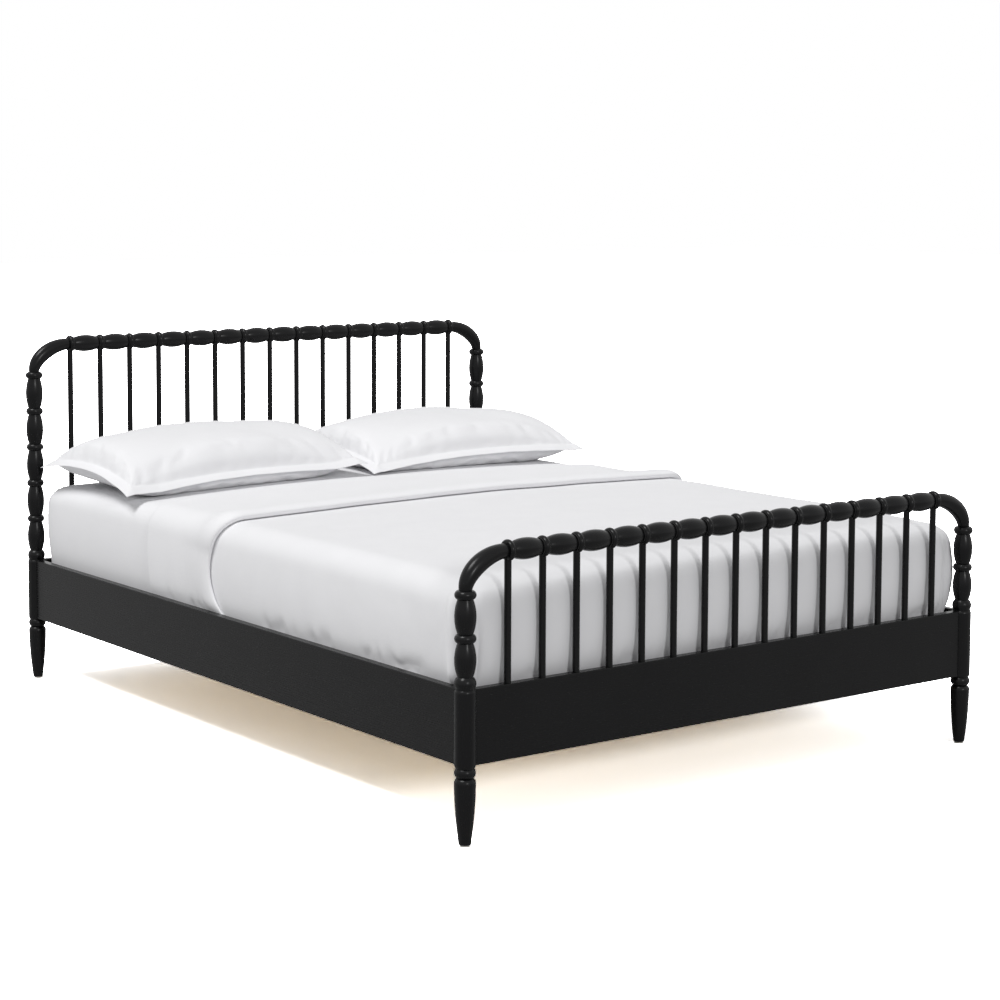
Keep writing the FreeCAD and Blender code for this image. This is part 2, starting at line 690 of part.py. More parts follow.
def pillow_section(t):
    """A cut across the filled case at a share t of its half length."""
    x = t * (PILLOW_L / 2 - PILLOW_FLANGE)
    half_d = PILLOW_D / 2 - PILLOW_FLANGE - PILLOW_DRAW_IN * (1 - t * t)
    swell = pillow_swell(t, PILLOW_SQUARE_L)
    crown = pillow_side(x, half_d, PILLOW_CROWN * swell + PILLOW_TIP_T / 2)
    belly = pillow_side(x, half_d, -PILLOW_BELLY * swell - PILLOW_TIP_T / 2)
    return Part.Wire([crown, belly])


def pillow_flange():
    """The flat border round the seam, with its edges drawn in between the corners."""
    x = PILLOW_L / 2
    y = PILLOW_D / 2
    z = -FLANGE_T / 2
    corners = [Vector(-x, -y, z), Vector(x, -y, z), Vector(x, y, z), Vector(-x, y, z)]
    middles = [
        Vector(0, PILLOW_DRAW_IN - y, z), Vector(x - PILLOW_DRAW_IN, 0, z),
        Vector(0, y - PILLOW_DRAW_IN, z), Vector(PILLOW_DRAW_IN - x, 0, z),
    ]
    edges = [
        Part.Arc(corners[k], middles[k], corners[(k + 1) % 4]).toShape()
        for k in range(4)
    ]
    return Part.Face(Part.Wire(edges)).extrude(Vector(0, 0, FLANGE_T))


def pillow(side):
    """A flanged pillow, crowned and drawn in, flattened where it lies on the fitted sheet."""
    centre_x, roll = PILLOWS[side]
    body = Part.makeLoft([pillow_section(t) for t in PILLOW_STATIONS], True, True)
    shape = body.fuse(pillow_flange()).removeSplitter()
    shape.rotate(Vector(0, 0, 0), Vector(0, 1, 0), -roll)
    shape.rotate(Vector(0, 0, 0), Vector(1, 0, 0), PILLOW_TILT)
    shape.translate(Vector(centre_x, PILLOW_FRONT_Y + PILLOW_D / 2, MATTRESS_TOP + PILLOW_SEAM_H))
    gap = SOFT_CLEARANCE
    lies_on = bed_form(FITTED_OUT[0] + gap, FITTED_OUT[1] + gap, MATTRESS_BOTTOM)
    return shape.cut(lies_on)


# ---------------------------------------------------------------- all the nodes

os.makedirs("parts", exist_ok=True)
for end_name, side_name in CORNERS:
    save("%s_post_%s" % (end_name, side_name), post(end_name, side_name))
    save("%s_elbow_%s" % (end_name, side_name), elbow(end_name, side_name))
for end_name in ENDS:
    save("%s_top_rail" % end_name, top_rail(end_name))
    save("%s_panel" % end_name, panel(end_name))
    for spindle_number in range(SPINDLES):
        save("%s_spindle_%02d" % (end_name, spindle_number + 1), spindle(end_name, spindle_number))
for side_name in SIDES:
    save("side_rail_%s" % side_name, side_rail(side_name))
    save("slat_cleat_%s" % side_name, cleat(side_name))
    save("pillow_%s" % side_name, pillow(side_name))
save("slats", slats())
save("centre_beam", centre_beam())
save("beam_rests", beam_rests())
save("centre_legs", centre_legs())
save("leg_glides", glides())
save("corner_brackets", corner_group(lambda: [bracket()]))
save("corner_bolts", corner_group(lambda: [bolt(place) for place in bolt_places()]))
save("mattress", bed_form(0, 0, MATTRESS_BOTTOM))
save("fitted_sheet", fitted_sheet())
save("top_sheet", top_sheet())
save("coverlet", coverlet())
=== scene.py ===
import math

import bpy
import numpy as np
from mathutils import Matrix, Vector, noise


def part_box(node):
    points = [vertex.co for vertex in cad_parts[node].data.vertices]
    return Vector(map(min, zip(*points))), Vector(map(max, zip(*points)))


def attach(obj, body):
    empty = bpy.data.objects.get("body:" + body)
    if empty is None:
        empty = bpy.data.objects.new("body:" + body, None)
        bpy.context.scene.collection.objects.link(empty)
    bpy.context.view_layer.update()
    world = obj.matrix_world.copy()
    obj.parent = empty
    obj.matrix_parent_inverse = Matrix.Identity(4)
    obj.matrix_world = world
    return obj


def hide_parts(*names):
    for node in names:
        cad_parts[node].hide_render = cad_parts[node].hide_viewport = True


# A black spindle bed, made up in white cotton. Metres, in the frame's own axes: +Y to the
# headboard, +Z up, the bed's left side at -X. Turned wood is drawn as lathe profiles, cloth is
# laid over the mattress's form, and the pillows are stuffed cases whose spare cloth is left to
# settle in a short simulation.

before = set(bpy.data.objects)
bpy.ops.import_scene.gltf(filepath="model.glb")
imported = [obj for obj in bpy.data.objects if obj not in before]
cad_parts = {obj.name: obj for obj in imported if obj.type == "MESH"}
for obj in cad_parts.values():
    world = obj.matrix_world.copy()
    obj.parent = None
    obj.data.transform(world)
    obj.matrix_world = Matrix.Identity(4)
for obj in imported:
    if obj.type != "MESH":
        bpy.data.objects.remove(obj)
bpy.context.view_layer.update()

MM = 0.001

# ---------------- places read from the frame

POSTS = [(end, side) for end in ("head", "foot") for side in ("left", "right")]
PANEL_LOW, PANEL_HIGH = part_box("foot_panel")
RAIL_TOP = PANEL_HIGH.z
RAIL_LOW = PANEL_LOW.z
MATTRESS_LOW, MATTRESS_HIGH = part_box("mattress")
HEM_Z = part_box("coverlet")[0].z
FOLD_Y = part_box("top_sheet")[1].y
COVERLET_HEAD_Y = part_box("coverlet")[1].y

# ---------------- turnery sizes

TURNING_R = 24.0 * MM           # beads, bobbins and the plain column
NECK_R = 17.3 * MM
BEAD_H = 19.6 * MM
COLLAR_R = 21.8 * MM
COLLAR_H = 4.4 * MM
LOW_BEAD_H = 23.6 * MM
SHOULDER_H = 7.0 * MM
GROOVE_DROP = 5.0 * MM          # centre of the groove under the column, below the rails
GROOVE_R = 20.4 * MM
COLUMN_ROUND_H = 9.0 * MM
LEG_RING_H = 21.0 * MM
LEG_NECK_R = 18.2 * MM
LEG_SHOULDER_H = 13.0 * MM
LEG_FOOT_R = 13.8 * MM
LEG_MID_R = 20.9 * MM
LEG_EDGE = 1.5 * MM
BOBBINS = {"head": 5, "foot": 2}
RINGS = 15
RING_H = 13.0 * MM
RING_EDGE_R = 20.2 * MM
FILLET_R = 19.6 * MM
FILLET_H = 3.6 * MM
ELBOW_RISE = 85.2 * MM          # from the top bead's centre to the top rail's axis
ELBOW_LOW_R = 14.5 * MM
ELBOW_MID_R = 20.2 * MM
ELBOW_END_R = 15.6 * MM
BEND_REACH = 0.5                # how far the bend follows its ends' directions

LEG_EDGE_FULLNESS = 0.20        # how far a rounding swells, as a share of its height
SHOULDER_FULLNESS = 0.17
COLUMN_FULLNESS = 0.11

LATHE_SIDES = 56
BEAD_STEPS = 14                 # points along a bead's curve
BOBBIN_STEPS = 18
RING_STEPS = 10
ROUNDING_STEPS = 6
LEG_EDGE_STEPS = 3
ELBOW_STEPS = 40
CREASE = math.radians(35)       # edges sharper than this stay crisp

# ---------------- bedding sizes

CROWN_X = 14.0 * MM             # fall of the mattress's top towards its long edges
CROWN_Y = 16.0 * MM             # and towards its ends
EDGE_R = 48.0 * MM
CORNER_R = 70.0 * MM
CORNER_SQUARE = 8.0             # 2 is a round corner in plan, higher is squarer
CROWN_POWER_X = 2               # higher keeps the middle level for longer
CROWN_POWER_Y = 7
CROWN_CORNER_EASE = 0.5         # how much less the ends fall towards the corners
SIDE_BULGE = 10.0 * MM
CLOTH_STEP = 12.0 * MM          # spacing of the cloth grids
SLOPE_STEP = 2.0 * MM           # half the span over which the form's slope is taken
FITTED_OFF = 1.2 * MM           # each layer's outer face, over the mattress
UNDER_SHEET_OFF = 2.4 * MM
COVERLET_OFF = 6.4 * MM
CUFF_OFF = 9.0 * MM
CUFF_ROLL = 21.0 * MM           # extra height where the turned-down edge rolls
CUFF_ROLL_WIDTH = 75.0 * MM
CUFF_NOSE = (10.0 * MM, 34.0 * MM)      # how far the rolled edge rounds back, below and above its front
CUFF_FRONT = 0.45               # height of that front, as a share of the roll
CUFF_THIN_SIDE = 0.45           # share of the cuff's loft that is lost on the sides
CUFF_THIN_TUCK = 0.40           # and where it is held behind the rails
CUFF_THIN_LEAST = 0.20          # share of it that always stays
CUFF_GAP = 2.2 * MM             # the turned-under hem, over the coverlet's mean face
CUFF_TURN_UNDER = (24.0 * MM, 15.0 * MM)        # how far in that hem starts, and a place on its way out
FOLD_APPROACH = 8.0 * MM        # the cuff lies flat until here, before its fold by the pillows
CUFF_UNDER_STEPS = 5
CUFF_FACE_STEPS = 12
FOLD_STEPS = 7
CUFF_EDGE_Y = -32.0 * MM
CUFF_SWAY = 87.0 * MM           # the cuff's edge swings towards the head on the sides
CUFF_SWAY_DROP = 135.0 * MM     # most of all this far below the top
CUFF_SWAY_REACH = 150.0 * MM
SHEET_T = 0.9 * MM
COVERLET_T = 2.6 * MM

# ---------------- folds and wrinkles

FREE_ABOVE = 20.0 * MM          # cloth hangs free from this far above the rails
FREE_FADE = 30.0 * MM           # and wholly held this far below that
SWELL_H = 2.2 * MM              # slow swells on the top of the coverlet
SWELL_SIZE = 0.34
SMALL_SWELL_SHARE = 0.5
SMALL_SWELL_SIZE = 0.13
TOP_CREASE_H = 1.1 * MM         # thin creases across the bed
TOP_CREASE_SIZE = 0.11
TOP_CREASE_RUN = (0.35, 1.6, 1.0)
HANG_H = 2.0 * MM               # folds that hang down the sides
HANG_SIZE = 0.10
HANG_RUN = 0.22                 # lower draws hanging folds out further down the side
GATHER_H = 3.0 * MM             # fine gathers beside the foot corners
GATHER_SIZE = 0.026
GATHER_REACH = 0.25
FREE_EASE = 1.2 * MM            # the coverlet stands this much further out where it is free
COVERLET_EASE = 0.6 * MM
EAR_DROP = 18.0 * MM            # the folded ear at a foot corner begins this far below the top
EAR_GROW = 35.0 * MM            # and is at its fullest this far below that
EAR_FADE = 30.0 * MM            # it dies out over this width towards the side and the end
EAR_H = 15.0 * MM
EAR_TURN = 0.40                 # its place, as a share of the turn from the side to the end
EAR_WIDTH = 0.12
EAR_SWAY = 0.05                 # how far it wanders on its way down
EAR_SWAY_SIZE = 0.09
EAR_CREASE_DEPTH = 13.0 * MM    # beside the ear
EAR_CREASE_TURN = 0.57
EAR_CREASE_WIDTH = 0.06
PINCH_LEAST = 0.5               # mm that the coverlet draws in along the rails
PINCH_MOST = 7.0                # mm more at a pinch
PINCH_SIZE = 0.04
PINCH_RUN = 0.35
PINCH_NARROW = 4.0              # higher makes each pinch narrower
PINCH_RISE = 4.0 * MM           # the pinches' middle above the rails
PINCH_BAND = 24.0 * MM
PATCH_SIZE = 0.12               # pinches come in patches
PATCH_CONTRAST = 3.0
PATCH_BIAS = 0.2
FITTED_WAVE = 0.3 * MM          # the fitted sheet's slight waves
FITTED_WAVE_SIZE = 0.16
FITTED_WAVE_RUN = 0.4

# ---------------- camera

CAMERA_PLACE = (-3.6503, -4.9308, 1.4312)
CAMERA_YAW = 0.6337             # radians, from straight along the bed towards its right side
CAMERA_PITCH = 0.0877           # downwards
CAMERA_ROLL = 0.0026
CAMERA_LENS = 82.9              # mm, on a 36 mm wide sensor
CAMERA_SHIFT = (0.036, -0.12)   # shares of the frame
CAMERA_REACH = 60.0


def make_camera():
    """The photograph's viewpoint: standing off the near left corner, a little above the headboard."""
    ahead = Vector((
        math.sin(CAMERA_YAW) * math.cos(CAMERA_PITCH),
        math.cos(CAMERA_YAW) * math.cos(CAMERA_PITCH),
        -math.sin(CAMERA_PITCH),
    ))
    level = Vector((math.cos(CAMERA_YAW), -math.sin(CAMERA_YAW), 0))
    upright = level.cross(ahead)
    right = level * math.cos(CAMERA_ROLL) + upright * math.sin(CAMERA_ROLL)
    up = upright * math.cos(CAMERA_ROLL) - level * math.sin(CAMERA_ROLL)
    camera = bpy.data.objects.new("camera", bpy.data.cameras.new("camera"))
    camera.data.lens = CAMERA_LENS
    camera.data.shift_x, camera.data.shift_y = CAMERA_SHIFT
    camera.data.clip_end = CAMERA_REACH
    axes = Matrix((right, up, -ahead)).transposed().to_4x4()
    camera.matrix_world = Matrix.Translation(CAMERA_PLACE) @ axes
    bpy.context.collection.objects.link(camera)
    bpy.context.scene.camera = camera


# ---------------- materials

def paint(code):
    """A colour written as sRGB hex, as linear RGBA."""
    channels = [int(code[k:k + 2], 16) / 255 for k in (1, 3, 5)]
    linear = [c / 12.92 if c <= 0.04045 else ((c + 0.055) / 1.055) ** 2.4 for c in channels]
    return (*linear, 1.0)


def feed(tree, node, inputs):
    """Sets or links a node's inputs."""
    for socket, value in inputs.items():
        if isinstance(value, bpy.types.NodeSocket):
            tree.links.new(value, node.inputs[socket])
        else:
            node.inputs[socket].default_value = value


def add(tree, kind, inputs=None, **settings):
    """Adds a shader node, sets its settings, and sets or links its inputs."""
    node = tree.nodes.new("ShaderNode" + kind)
    for name, value in settings.items():
        setattr(node, name, value)
    feed(tree, node, inputs or {})
    return node


def start_material(name, constants):
    """A material with its Principled shader, whose plain values are set on its own sockets."""
    material = bpy.data.materials.new(name)
    material.use_nodes = True
    tree = material.node_tree
    shader = tree.nodes["Principled BSDF"]
    feed(tree, shader, constants)
    return material, tree, shader


MIX_FROM = 6                    # a Mix node's colour sockets, whose names others of its sockets share
MIX_TO = 7
MIX_COLOUR = 2

GRAIN_WIDTH = 2.2               # mm between the soft ridges of grain that the paint leaves
GRAIN_RUN = 60.0                # mm along the grain before a ridge fades
PEEL_SIZE = 1.6                 # mm, the faint ripple of sprayed lacquer
RING_SPACING = 14.0             # mm between growth rings on the face of a flat-sawn board
RING_RUN = 420.0                # mm before a ring wanders off along the board
FIBRE_WIDTH = 0.9               # mm, real fibres are finer and are drawn this coarse
FIBRE_RUN = 30.0
QUILT_SIZE = 18.0               # mm between the raised cells of the ticking
KNIT_FUZZ = 1.2                 # mm
SPANGLE_SIZE = 3.0              # mm across a zinc crystal
MOULD_GRIT = 0.6                # mm
CLOUDS_PER_METRE = 9.0          # slow drift in the lacquer's black
MOTTLES_PER_METRE = 14.0        # and in the cloth's white

GRAIN_RELIEF = 0.05 * MM        # how high each pattern stands
PEEL_RELIEF = 0.015 * MM
FIBRE_RELIEF = 0.15 * MM
SLUB_RELIEF = 0.5 * MM
THREAD_RELIEF = 0.05 * MM
QUILT_RELIEF = 1.2 * MM
FUZZ_RELIEF = 0.2 * MM
GRIT_RELIEF = 0.05 * MM


def satin_black_beech(name, along):
    """Turned or planed beech, sprayed with satin black lacquer: the eye sees near-black with broad
    soft highlights, a trace of grain under the film, and a faint ripple where it was sprayed."""
    material, tree, shader = start_material(name, {"IOR": 1.5, "Specular IOR Level": 0.17})
    per_metre = [1000 / GRAIN_WIDTH] * 3
    per_metre[along] = 1000 / GRAIN_RUN
    place = add(tree, "TexCoord").outputs["Object"]
    stretched = add(tree, "Mapping", {"Vector": place, "Scale": per_metre}).outputs[0]
    grain = add(tree, "TexNoise", {
        "Vector": stretched, "Scale": 1.0, "Detail": 3.0, "Roughness": 0.6,
    }).outputs["Fac"]
    peel = add(tree, "TexNoise", {
        "Vector": place, "Scale": 1000 / PEEL_SIZE, "Detail": 1.0,
    }).outputs["Fac"]
    cloud = add(tree, "TexNoise", {
        "Vector": place, "Scale": CLOUDS_PER_METRE, "Detail": 2.0,
    }).outputs["Fac"]
    tone = add(tree, "Mix", {
        "Factor": cloud, MIX_FROM: paint("#09090a"), MIX_TO: paint("#111112"),
    }, data_type="RGBA").outputs[MIX_COLOUR]
    gloss = add(tree, "MapRange", {"Value": grain, "To Min": 0.22, "To Max": 0.32}).outputs[0]
    relief = add(tree, "Bump", {"Height": grain, "Distance": GRAIN_RELIEF, "Strength": 0.5}).outputs[0]
    relief = add(tree, "Bump", {
        "Height": peel, "Distance": PEEL_RELIEF, "Strength": 0.5, "Normal": relief,
    }).outputs[0]
    feed(tree, shader, {"Base Color": tone, "Roughness": gloss, "Normal": relief})
    return material


def planed_pine(name, along):
    """Planed, unfinished pine: pale yellow with wide darker late-wood bands along each board."""
    material, tree, shader = start_material(name, {"IOR": 1.5})
    rings = [1000 / RING_SPACING] * 3
    rings[along] = 1000 / RING_RUN
    fibres = [1000 / FIBRE_WIDTH] * 3
    fibres[along] = 1000 / FIBRE_RUN
    place = add(tree, "TexCoord").outputs["Object"]
    ring_place = add(tree, "Mapping", {"Vector": place, "Scale": rings}).outputs[0]
    fibre_place = add(tree, "Mapping", {"Vector": place, "Scale": fibres}).outputs[0]
    bands = add(tree, "TexNoise", {
        "Vector": ring_place, "Scale": 1.0, "Detail": 4.0, "Distortion": 0.6,
    }).outputs["Fac"]
    late_wood = add(tree, "MapRange", {
        "Value": bands, "From Min": 0.38, "From Max": 0.62,
    }).outputs[0]
    fibre = add(tree, "TexNoise", {"Vector": fibre_place, "Scale": 1.0}).outputs["Fac"]
    tone = add(tree, "Mix", {
        "Factor": late_wood, MIX_FROM: paint("#c8a97b"), MIX_TO: paint("#e4d0aa"),
    }, data_type="RGBA").outputs[MIX_COLOUR]
    gloss = add(tree, "MapRange", {"Value": fibre, "To Min": 0.6, "To Max": 0.8}).outputs[0]
    relief = add(tree, "Bump", {"Height": fibre, "Distance": FIBRE_RELIEF, "Strength": 0.6}).outputs[0]
    feed(tree, shader, {"Base Color": tone, "Roughness": gloss, "Normal": relief})
    return material


def woven_cotton(name, light, shade, thread, slub, sheen):
    """Cotton cloth: matt white with a soft fuzz, fine threads both ways and slow unevenness. Its
    threads are a third of a millimetre apart on the real cloth and are drawn thread mm apart; the
    thicker places in its yarn, the slubs, are slub mm long."""
    material, tree, shader = start_material(name, {
        "IOR": 1.45, "Specular IOR Level": 0.3, "Sheen Weight": sheen, "Sheen Roughness": 0.5,
    })
    place = add(tree, "TexCoord").outputs["Object"]
    # a wave of scale 1 repeats every pi / 10 metres
    wave_scale = 1000 / thread * math.pi / 10
    ridges = [
        add(tree, "TexWave", {
            "Vector": place, "Scale": wave_scale, "Distortion": 1.2, "Detail": 1.0,
        }, bands_direction=direction).outputs["Fac"]
        for direction in ("X", "Y", "Z")
    ]
    both = add(tree, "Math", {0: ridges[0], 1: ridges[1]}, operation="ADD").outputs[0]
    weave = add(tree, "Math", {0: both, 1: ridges[2]}, operation="ADD").outputs[0]
    slubs = add(tree, "TexNoise", {
        "Vector": place, "Scale": 1000 / slub, "Detail": 4.0, "Roughness": 0.6,
    }).outputs["Fac"]
    mottle = add(tree, "TexNoise", {"Vector": place, "Scale": MOTTLES_PER_METRE}).outputs["Fac"]
    tone = add(tree, "Mix", {
        "Factor": mottle, MIX_FROM: paint(shade), MIX_TO: paint(light),
    }, data_type="RGBA").outputs[MIX_COLOUR]
    gloss = add(tree, "MapRange", {"Value": slubs, "To Min": 0.82, "To Max": 0.95}).outputs[0]
    relief = add(tree, "Bump", {"Height": slubs, "Distance": SLUB_RELIEF, "Strength": 0.35}).outputs[0]
    relief = add(tree, "Bump", {
        "Height": weave, "Distance": THREAD_RELIEF, "Strength": 0.5, "Normal": relief,
    }).outputs[0]
    feed(tree, shader, {"Base Color": tone, "Roughness": gloss, "Normal": relief})
    return material


def knitted_ticking(name):
    """The mattress's own stretch-knit cover: off-white, with a small raised quilted pattern."""
    material, tree, shader = start_material(name, {
        "IOR": 1.45, "Roughness": 0.9, "Sheen Weight": 0.15, "Sheen Roughness": 0.5,
    })
    place = add(tree, "TexCoord").outputs["Object"]
    cells = add(tree, "TexVoronoi", {
        "Vector": place, "Scale": 1000 / QUILT_SIZE,
    }, feature="SMOOTH_F1").outputs["Distance"]
    fuzz = add(tree, "TexNoise", {"Vector": place, "Scale": 1000 / KNIT_FUZZ}).outputs["Fac"]
    tone = add(tree, "Mix", {
        "Factor": fuzz, MIX_FROM: paint("#dcdad4"), MIX_TO: paint("#eceae5"),
    }, data_type="RGBA").outputs[MIX_COLOUR]
    relief = add(tree, "Bump", {"Height": cells, "Distance": QUILT_RELIEF, "Strength": 0.6}).outputs[0]
    relief = add(tree, "Bump", {
        "Height": fuzz, "Distance": FUZZ_RELIEF, "Strength": 0.5, "Normal": relief,
    }).outputs[0]
    feed(tree, shader, {"Base Color": tone, "Normal": relief})
    return material


def zinc_plated_steel(name):
    """Pressed steel with bright zinc plating: cool grey, its spangle softly clouding the gloss."""
    material, tree, shader = start_material(name, {"Metallic": 1.0})
    place = add(tree, "TexCoord").outputs["Object"]
    spangle = add(tree, "TexVoronoi", {
        "Vector": place, "Scale": 1000 / SPANGLE_SIZE,
    }).outputs["Distance"]
    tone = add(tree, "Mix", {
        "Factor": spangle, MIX_FROM: paint("#a9acad"), MIX_TO: paint("#c4c6c5"),
    }, data_type="RGBA").outputs[MIX_COLOUR]
    gloss = add(tree, "MapRange", {"Value": spangle, "To Min": 0.34, "To Max": 0.48}).outputs[0]
    feed(tree, shader, {"Base Color": tone, "Roughness": gloss})
    return material


def moulded_nylon(name):
    """Moulded nylon: milky white, with the fine matt texture of its mould."""
    material, tree, shader = start_material(name, {"IOR": 1.53})
    place = add(tree, "TexCoord").outputs["Object"]
    grit = add(tree, "TexNoise", {"Vector": place, "Scale": 1000 / MOULD_GRIT}).outputs["Fac"]
    tone = add(tree, "Mix", {
        "Factor": grit, MIX_FROM: paint("#c9c7c0"), MIX_TO: paint("#d6d4cd"),
    }, data_type="RGBA").outputs[MIX_COLOUR]
    gloss = add(tree, "MapRange", {"Value": grit, "To Min": 0.45, "To Max": 0.6}).outputs[0]
    relief = add(tree, "Bump", {"Height": grit, "Distance": GRIT_RELIEF, "Strength": 0.5}).outputs[0]
    feed(tree, shader, {"Base Color": tone, "Roughness": gloss, "Normal": relief})
    return material


X, Y, Z = 0, 1, 2
BLACK_UPRIGHT = satin_black_beech("satin_black_beech_upright", Z)
BLACK_ACROSS = satin_black_beech("satin_black_beech_across", X)
BLACK_LENGTHWISE = satin_black_beech("satin_black_beech_lengthwise", Y)
PINE_ACROSS = planed_pine("planed_pine_across", X)
PINE_LENGTHWISE = planed_pine("planed_pine_lengthwise", Y)
PINE_UPRIGHT = planed_pine("planed_pine_upright", Z)
PERCALE = woven_cotton(
    "cotton_percale", light="#efeff1", shade="#ebebed", thread=0.8, slub=9.0, sheen=0.12,
)
WASHED_COTTON = woven_cotton(
    "washed_cotton_coverlet", light="#eeeef0", shade="#e9e9eb", thread=1.2, slub=7.0, sheen=0.18,
)
TICKING = knitted_ticking("knitted_mattress_ticking")
ZINC = zinc_plated_steel("zinc_plated_steel")
NYLON = moulded_nylon("moulded_nylon")


# ---------------- making pieces

def finished(obj, material, body, replaced, smooth=True):
    """Gives a new piece its material and shading and ties it to the frame."""
    obj.data.materials.append(material)
    if smooth:
        obj.data.shade_smooth()
    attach(obj, body)
    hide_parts(*replaced)


def mesh_piece(name, vertices, faces):
    """A new piece from its places and faces."""
    mesh = bpy.data.meshes.new(name)
    mesh.from_pydata([tuple(v) for v in vertices], [], faces)
    mesh.update()
    obj = bpy.data.objects.new(name, mesh)
    bpy.context.collection.objects.link(obj)
    return obj


def shade_crisply(mesh):
    """Smooth shading that stops at sharp edges."""
    mesh.shade_smooth()
    mesh.set_sharp_from_angle(angle=CREASE)


def ringed_faces(rings, sides):
    """Quads between successive rings of points, and one face that closes each end."""
    faces = []
    for ring in range(rings - 1):
        for k in range(sides):
            here, there = ring * sides, (ring + 1) * sides
            faces.append((here + k, here + (k + 1) % sides, there + (k + 1) % sides, there + k))
    faces.append(tuple(reversed(range(sides))))
    faces.append(tuple((rings - 1) * sides + k for k in range(sides)))
    return faces


def arc(start, via, end, steps):
    """Points after start on the arc from start through via to end, in the plane."""
    (ax, ay), (bx, by), (cx, cy) = start, via, end
    a2, b2, c2 = ax * ax + ay * ay, bx * bx + by * by, cx * cx + cy * cy
    divisor = 2 * (ax * (by - cy) + bx * (cy - ay) + cx * (ay - by))
    middle_x = (a2 * (by - cy) + b2 * (cy - ay) + c2 * (ay - by)) / divisor
    middle_y = (a2 * (cx - bx) + b2 * (ax - cx) + c2 * (bx - ax)) / divisor
    r = math.hypot(ax - middle_x, ay - middle_y)
    first = math.atan2(ay - middle_y, ax - middle_x)
    last = math.atan2(cy - middle_y, cx - middle_x)
    turn = (last - first + math.pi) % (2 * math.pi) - math.pi
    angles = [first + turn * k / steps for k in range(1, steps + 1)]
    return [(middle_x + r * math.cos(a), middle_y + r * math.sin(a)) for a in angles]


class Profile:
    """A lathe profile: (radius, distance along the axis) from one end to the other."""

    def __init__(self, r, z):
        self.points = [(r, z)]

    def line(self, r, z):
        self.points.append((r, z))

    def bulge(self, crest_r, r, z, steps=BEAD_STEPS):
        """An arc to (r, z) that swells to crest_r half way."""
        start = self.points[-1]
        self.points += arc(start, (crest_r, (start[1] + z) / 2), (r, z), steps)

    def rounding(self, r, z, fullness, steps=ROUNDING_STEPS):
        """A soft rounding to (r, z)."""
        start = self.points[-1]
        self.bulge((start[0] + r) / 2 + fullness * abs(z - start[1]), r, z, steps)

    def mesh(self, name, place):
        """The turned piece; place maps (x, y, distance along the axis) into the frame."""
        vertices = []
        for r, z in self.points:
            for k in range(LATHE_SIDES):
                angle = 2 * math.pi * k / LATHE_SIDES
                vertices.append(place(r * math.cos(angle), r * math.sin(angle), z))
        obj = mesh_piece(name, vertices, ringed_faces(len(self.points), LATHE_SIDES))
        shade_crisply(obj.data)
        return obj


# ---------------- turned frame

def turn_post(end, side):
    """Leg, column and bobbins in one turning, from the glide up to the top bead."""
    node = "%s_post_%s" % (end, side)
    low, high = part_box(node)
    middle = (low + high) / 2
    groove_z = RAIL_LOW - GROOVE_DROP
    neck_z = groove_z - LEG_RING_H
    widest_z = neck_z - LEG_SHOULDER_H
    foot_z = low.z + LEG_EDGE
    profile = Profile(LEG_FOOT_R - LEG_EDGE, low.z)
    profile.rounding(LEG_FOOT_R, foot_z, LEG_EDGE_FULLNESS, LEG_EDGE_STEPS)
    profile.bulge(LEG_MID_R, TURNING_R, widest_z)
    profile.rounding(LEG_NECK_R, neck_z, SHOULDER_FULLNESS)
    profile.bulge(TURNING_R, GROOVE_R, groove_z)
    profile.rounding(TURNING_R, groove_z + COLUMN_ROUND_H, COLUMN_FULLNESS)
    profile.line(TURNING_R, RAIL_TOP - SHOULDER_H)
    profile.rounding(COLLAR_R, RAIL_TOP, COLUMN_FULLNESS)
    profile.line(COLLAR_R, RAIL_TOP + COLLAR_H)
    profile.bulge(TURNING_R, NECK_R, RAIL_TOP + COLLAR_H + LOW_BEAD_H)
    first_z = RAIL_TOP + COLLAR_H + LOW_BEAD_H / 2
    pitch = (high.z - BEAD_H / 2 - first_z) / BOBBINS[end]
    for number in range(1, BOBBINS[end] + 1):
        bead_z = first_z + number * pitch
        profile.bulge(TURNING_R, NECK_R, bead_z - BEAD_H / 2, BOBBIN_STEPS)
        profile.bulge(TURNING_R, NECK_R, bead_z + BEAD_H / 2)
    obj = profile.mesh(node + "_turned", lambda x, y, z: (middle.x + x, middle.y + y, z))
    finished(obj, BLACK_UPRIGHT, "bed_frame", [node], smooth=False)


def turn_top_rail(end):
    """Rings over the spindles with bobbins between them."""
    node = "%s_top_rail" % end
    low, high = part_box(node)
    middle = (low + high) / 2
    pitch = (high.x - low.x - RING_H) / (RINGS - 1)
    profile = Profile(RING_EDGE_R, low.x)
    for number in range(RINGS):
        ring_x = low.x + RING_H / 2 + number * pitch
        if number:
            profile.line(FILLET_R, ring_x - RING_H / 2 - FILLET_H)
            profile.line(FILLET_R, ring_x - RING_H / 2)
            profile.line(RING_EDGE_R, ring_x - RING_H / 2)
        profile.bulge(TURNING_R, RING_EDGE_R, ring_x + RING_H / 2, RING_STEPS)
        if number < RINGS - 1:
            profile.line(FILLET_R, ring_x + RING_H / 2)
            profile.line(FILLET_R, ring_x + RING_H / 2 + FILLET_H)
            profile.line(NECK_R, ring_x + RING_H / 2 + FILLET_H)
            bobbin_end = ring_x + pitch - RING_H / 2 - FILLET_H
            profile.bulge(TURNING_R, NECK_R, bobbin_end, BOBBIN_STEPS)
    obj = profile.mesh(node + "_turned", lambda x, y, z: (z, middle.y + x, middle.z + y))
    finished(obj, BLACK_ACROSS, "bed_frame", [node], smooth=False)


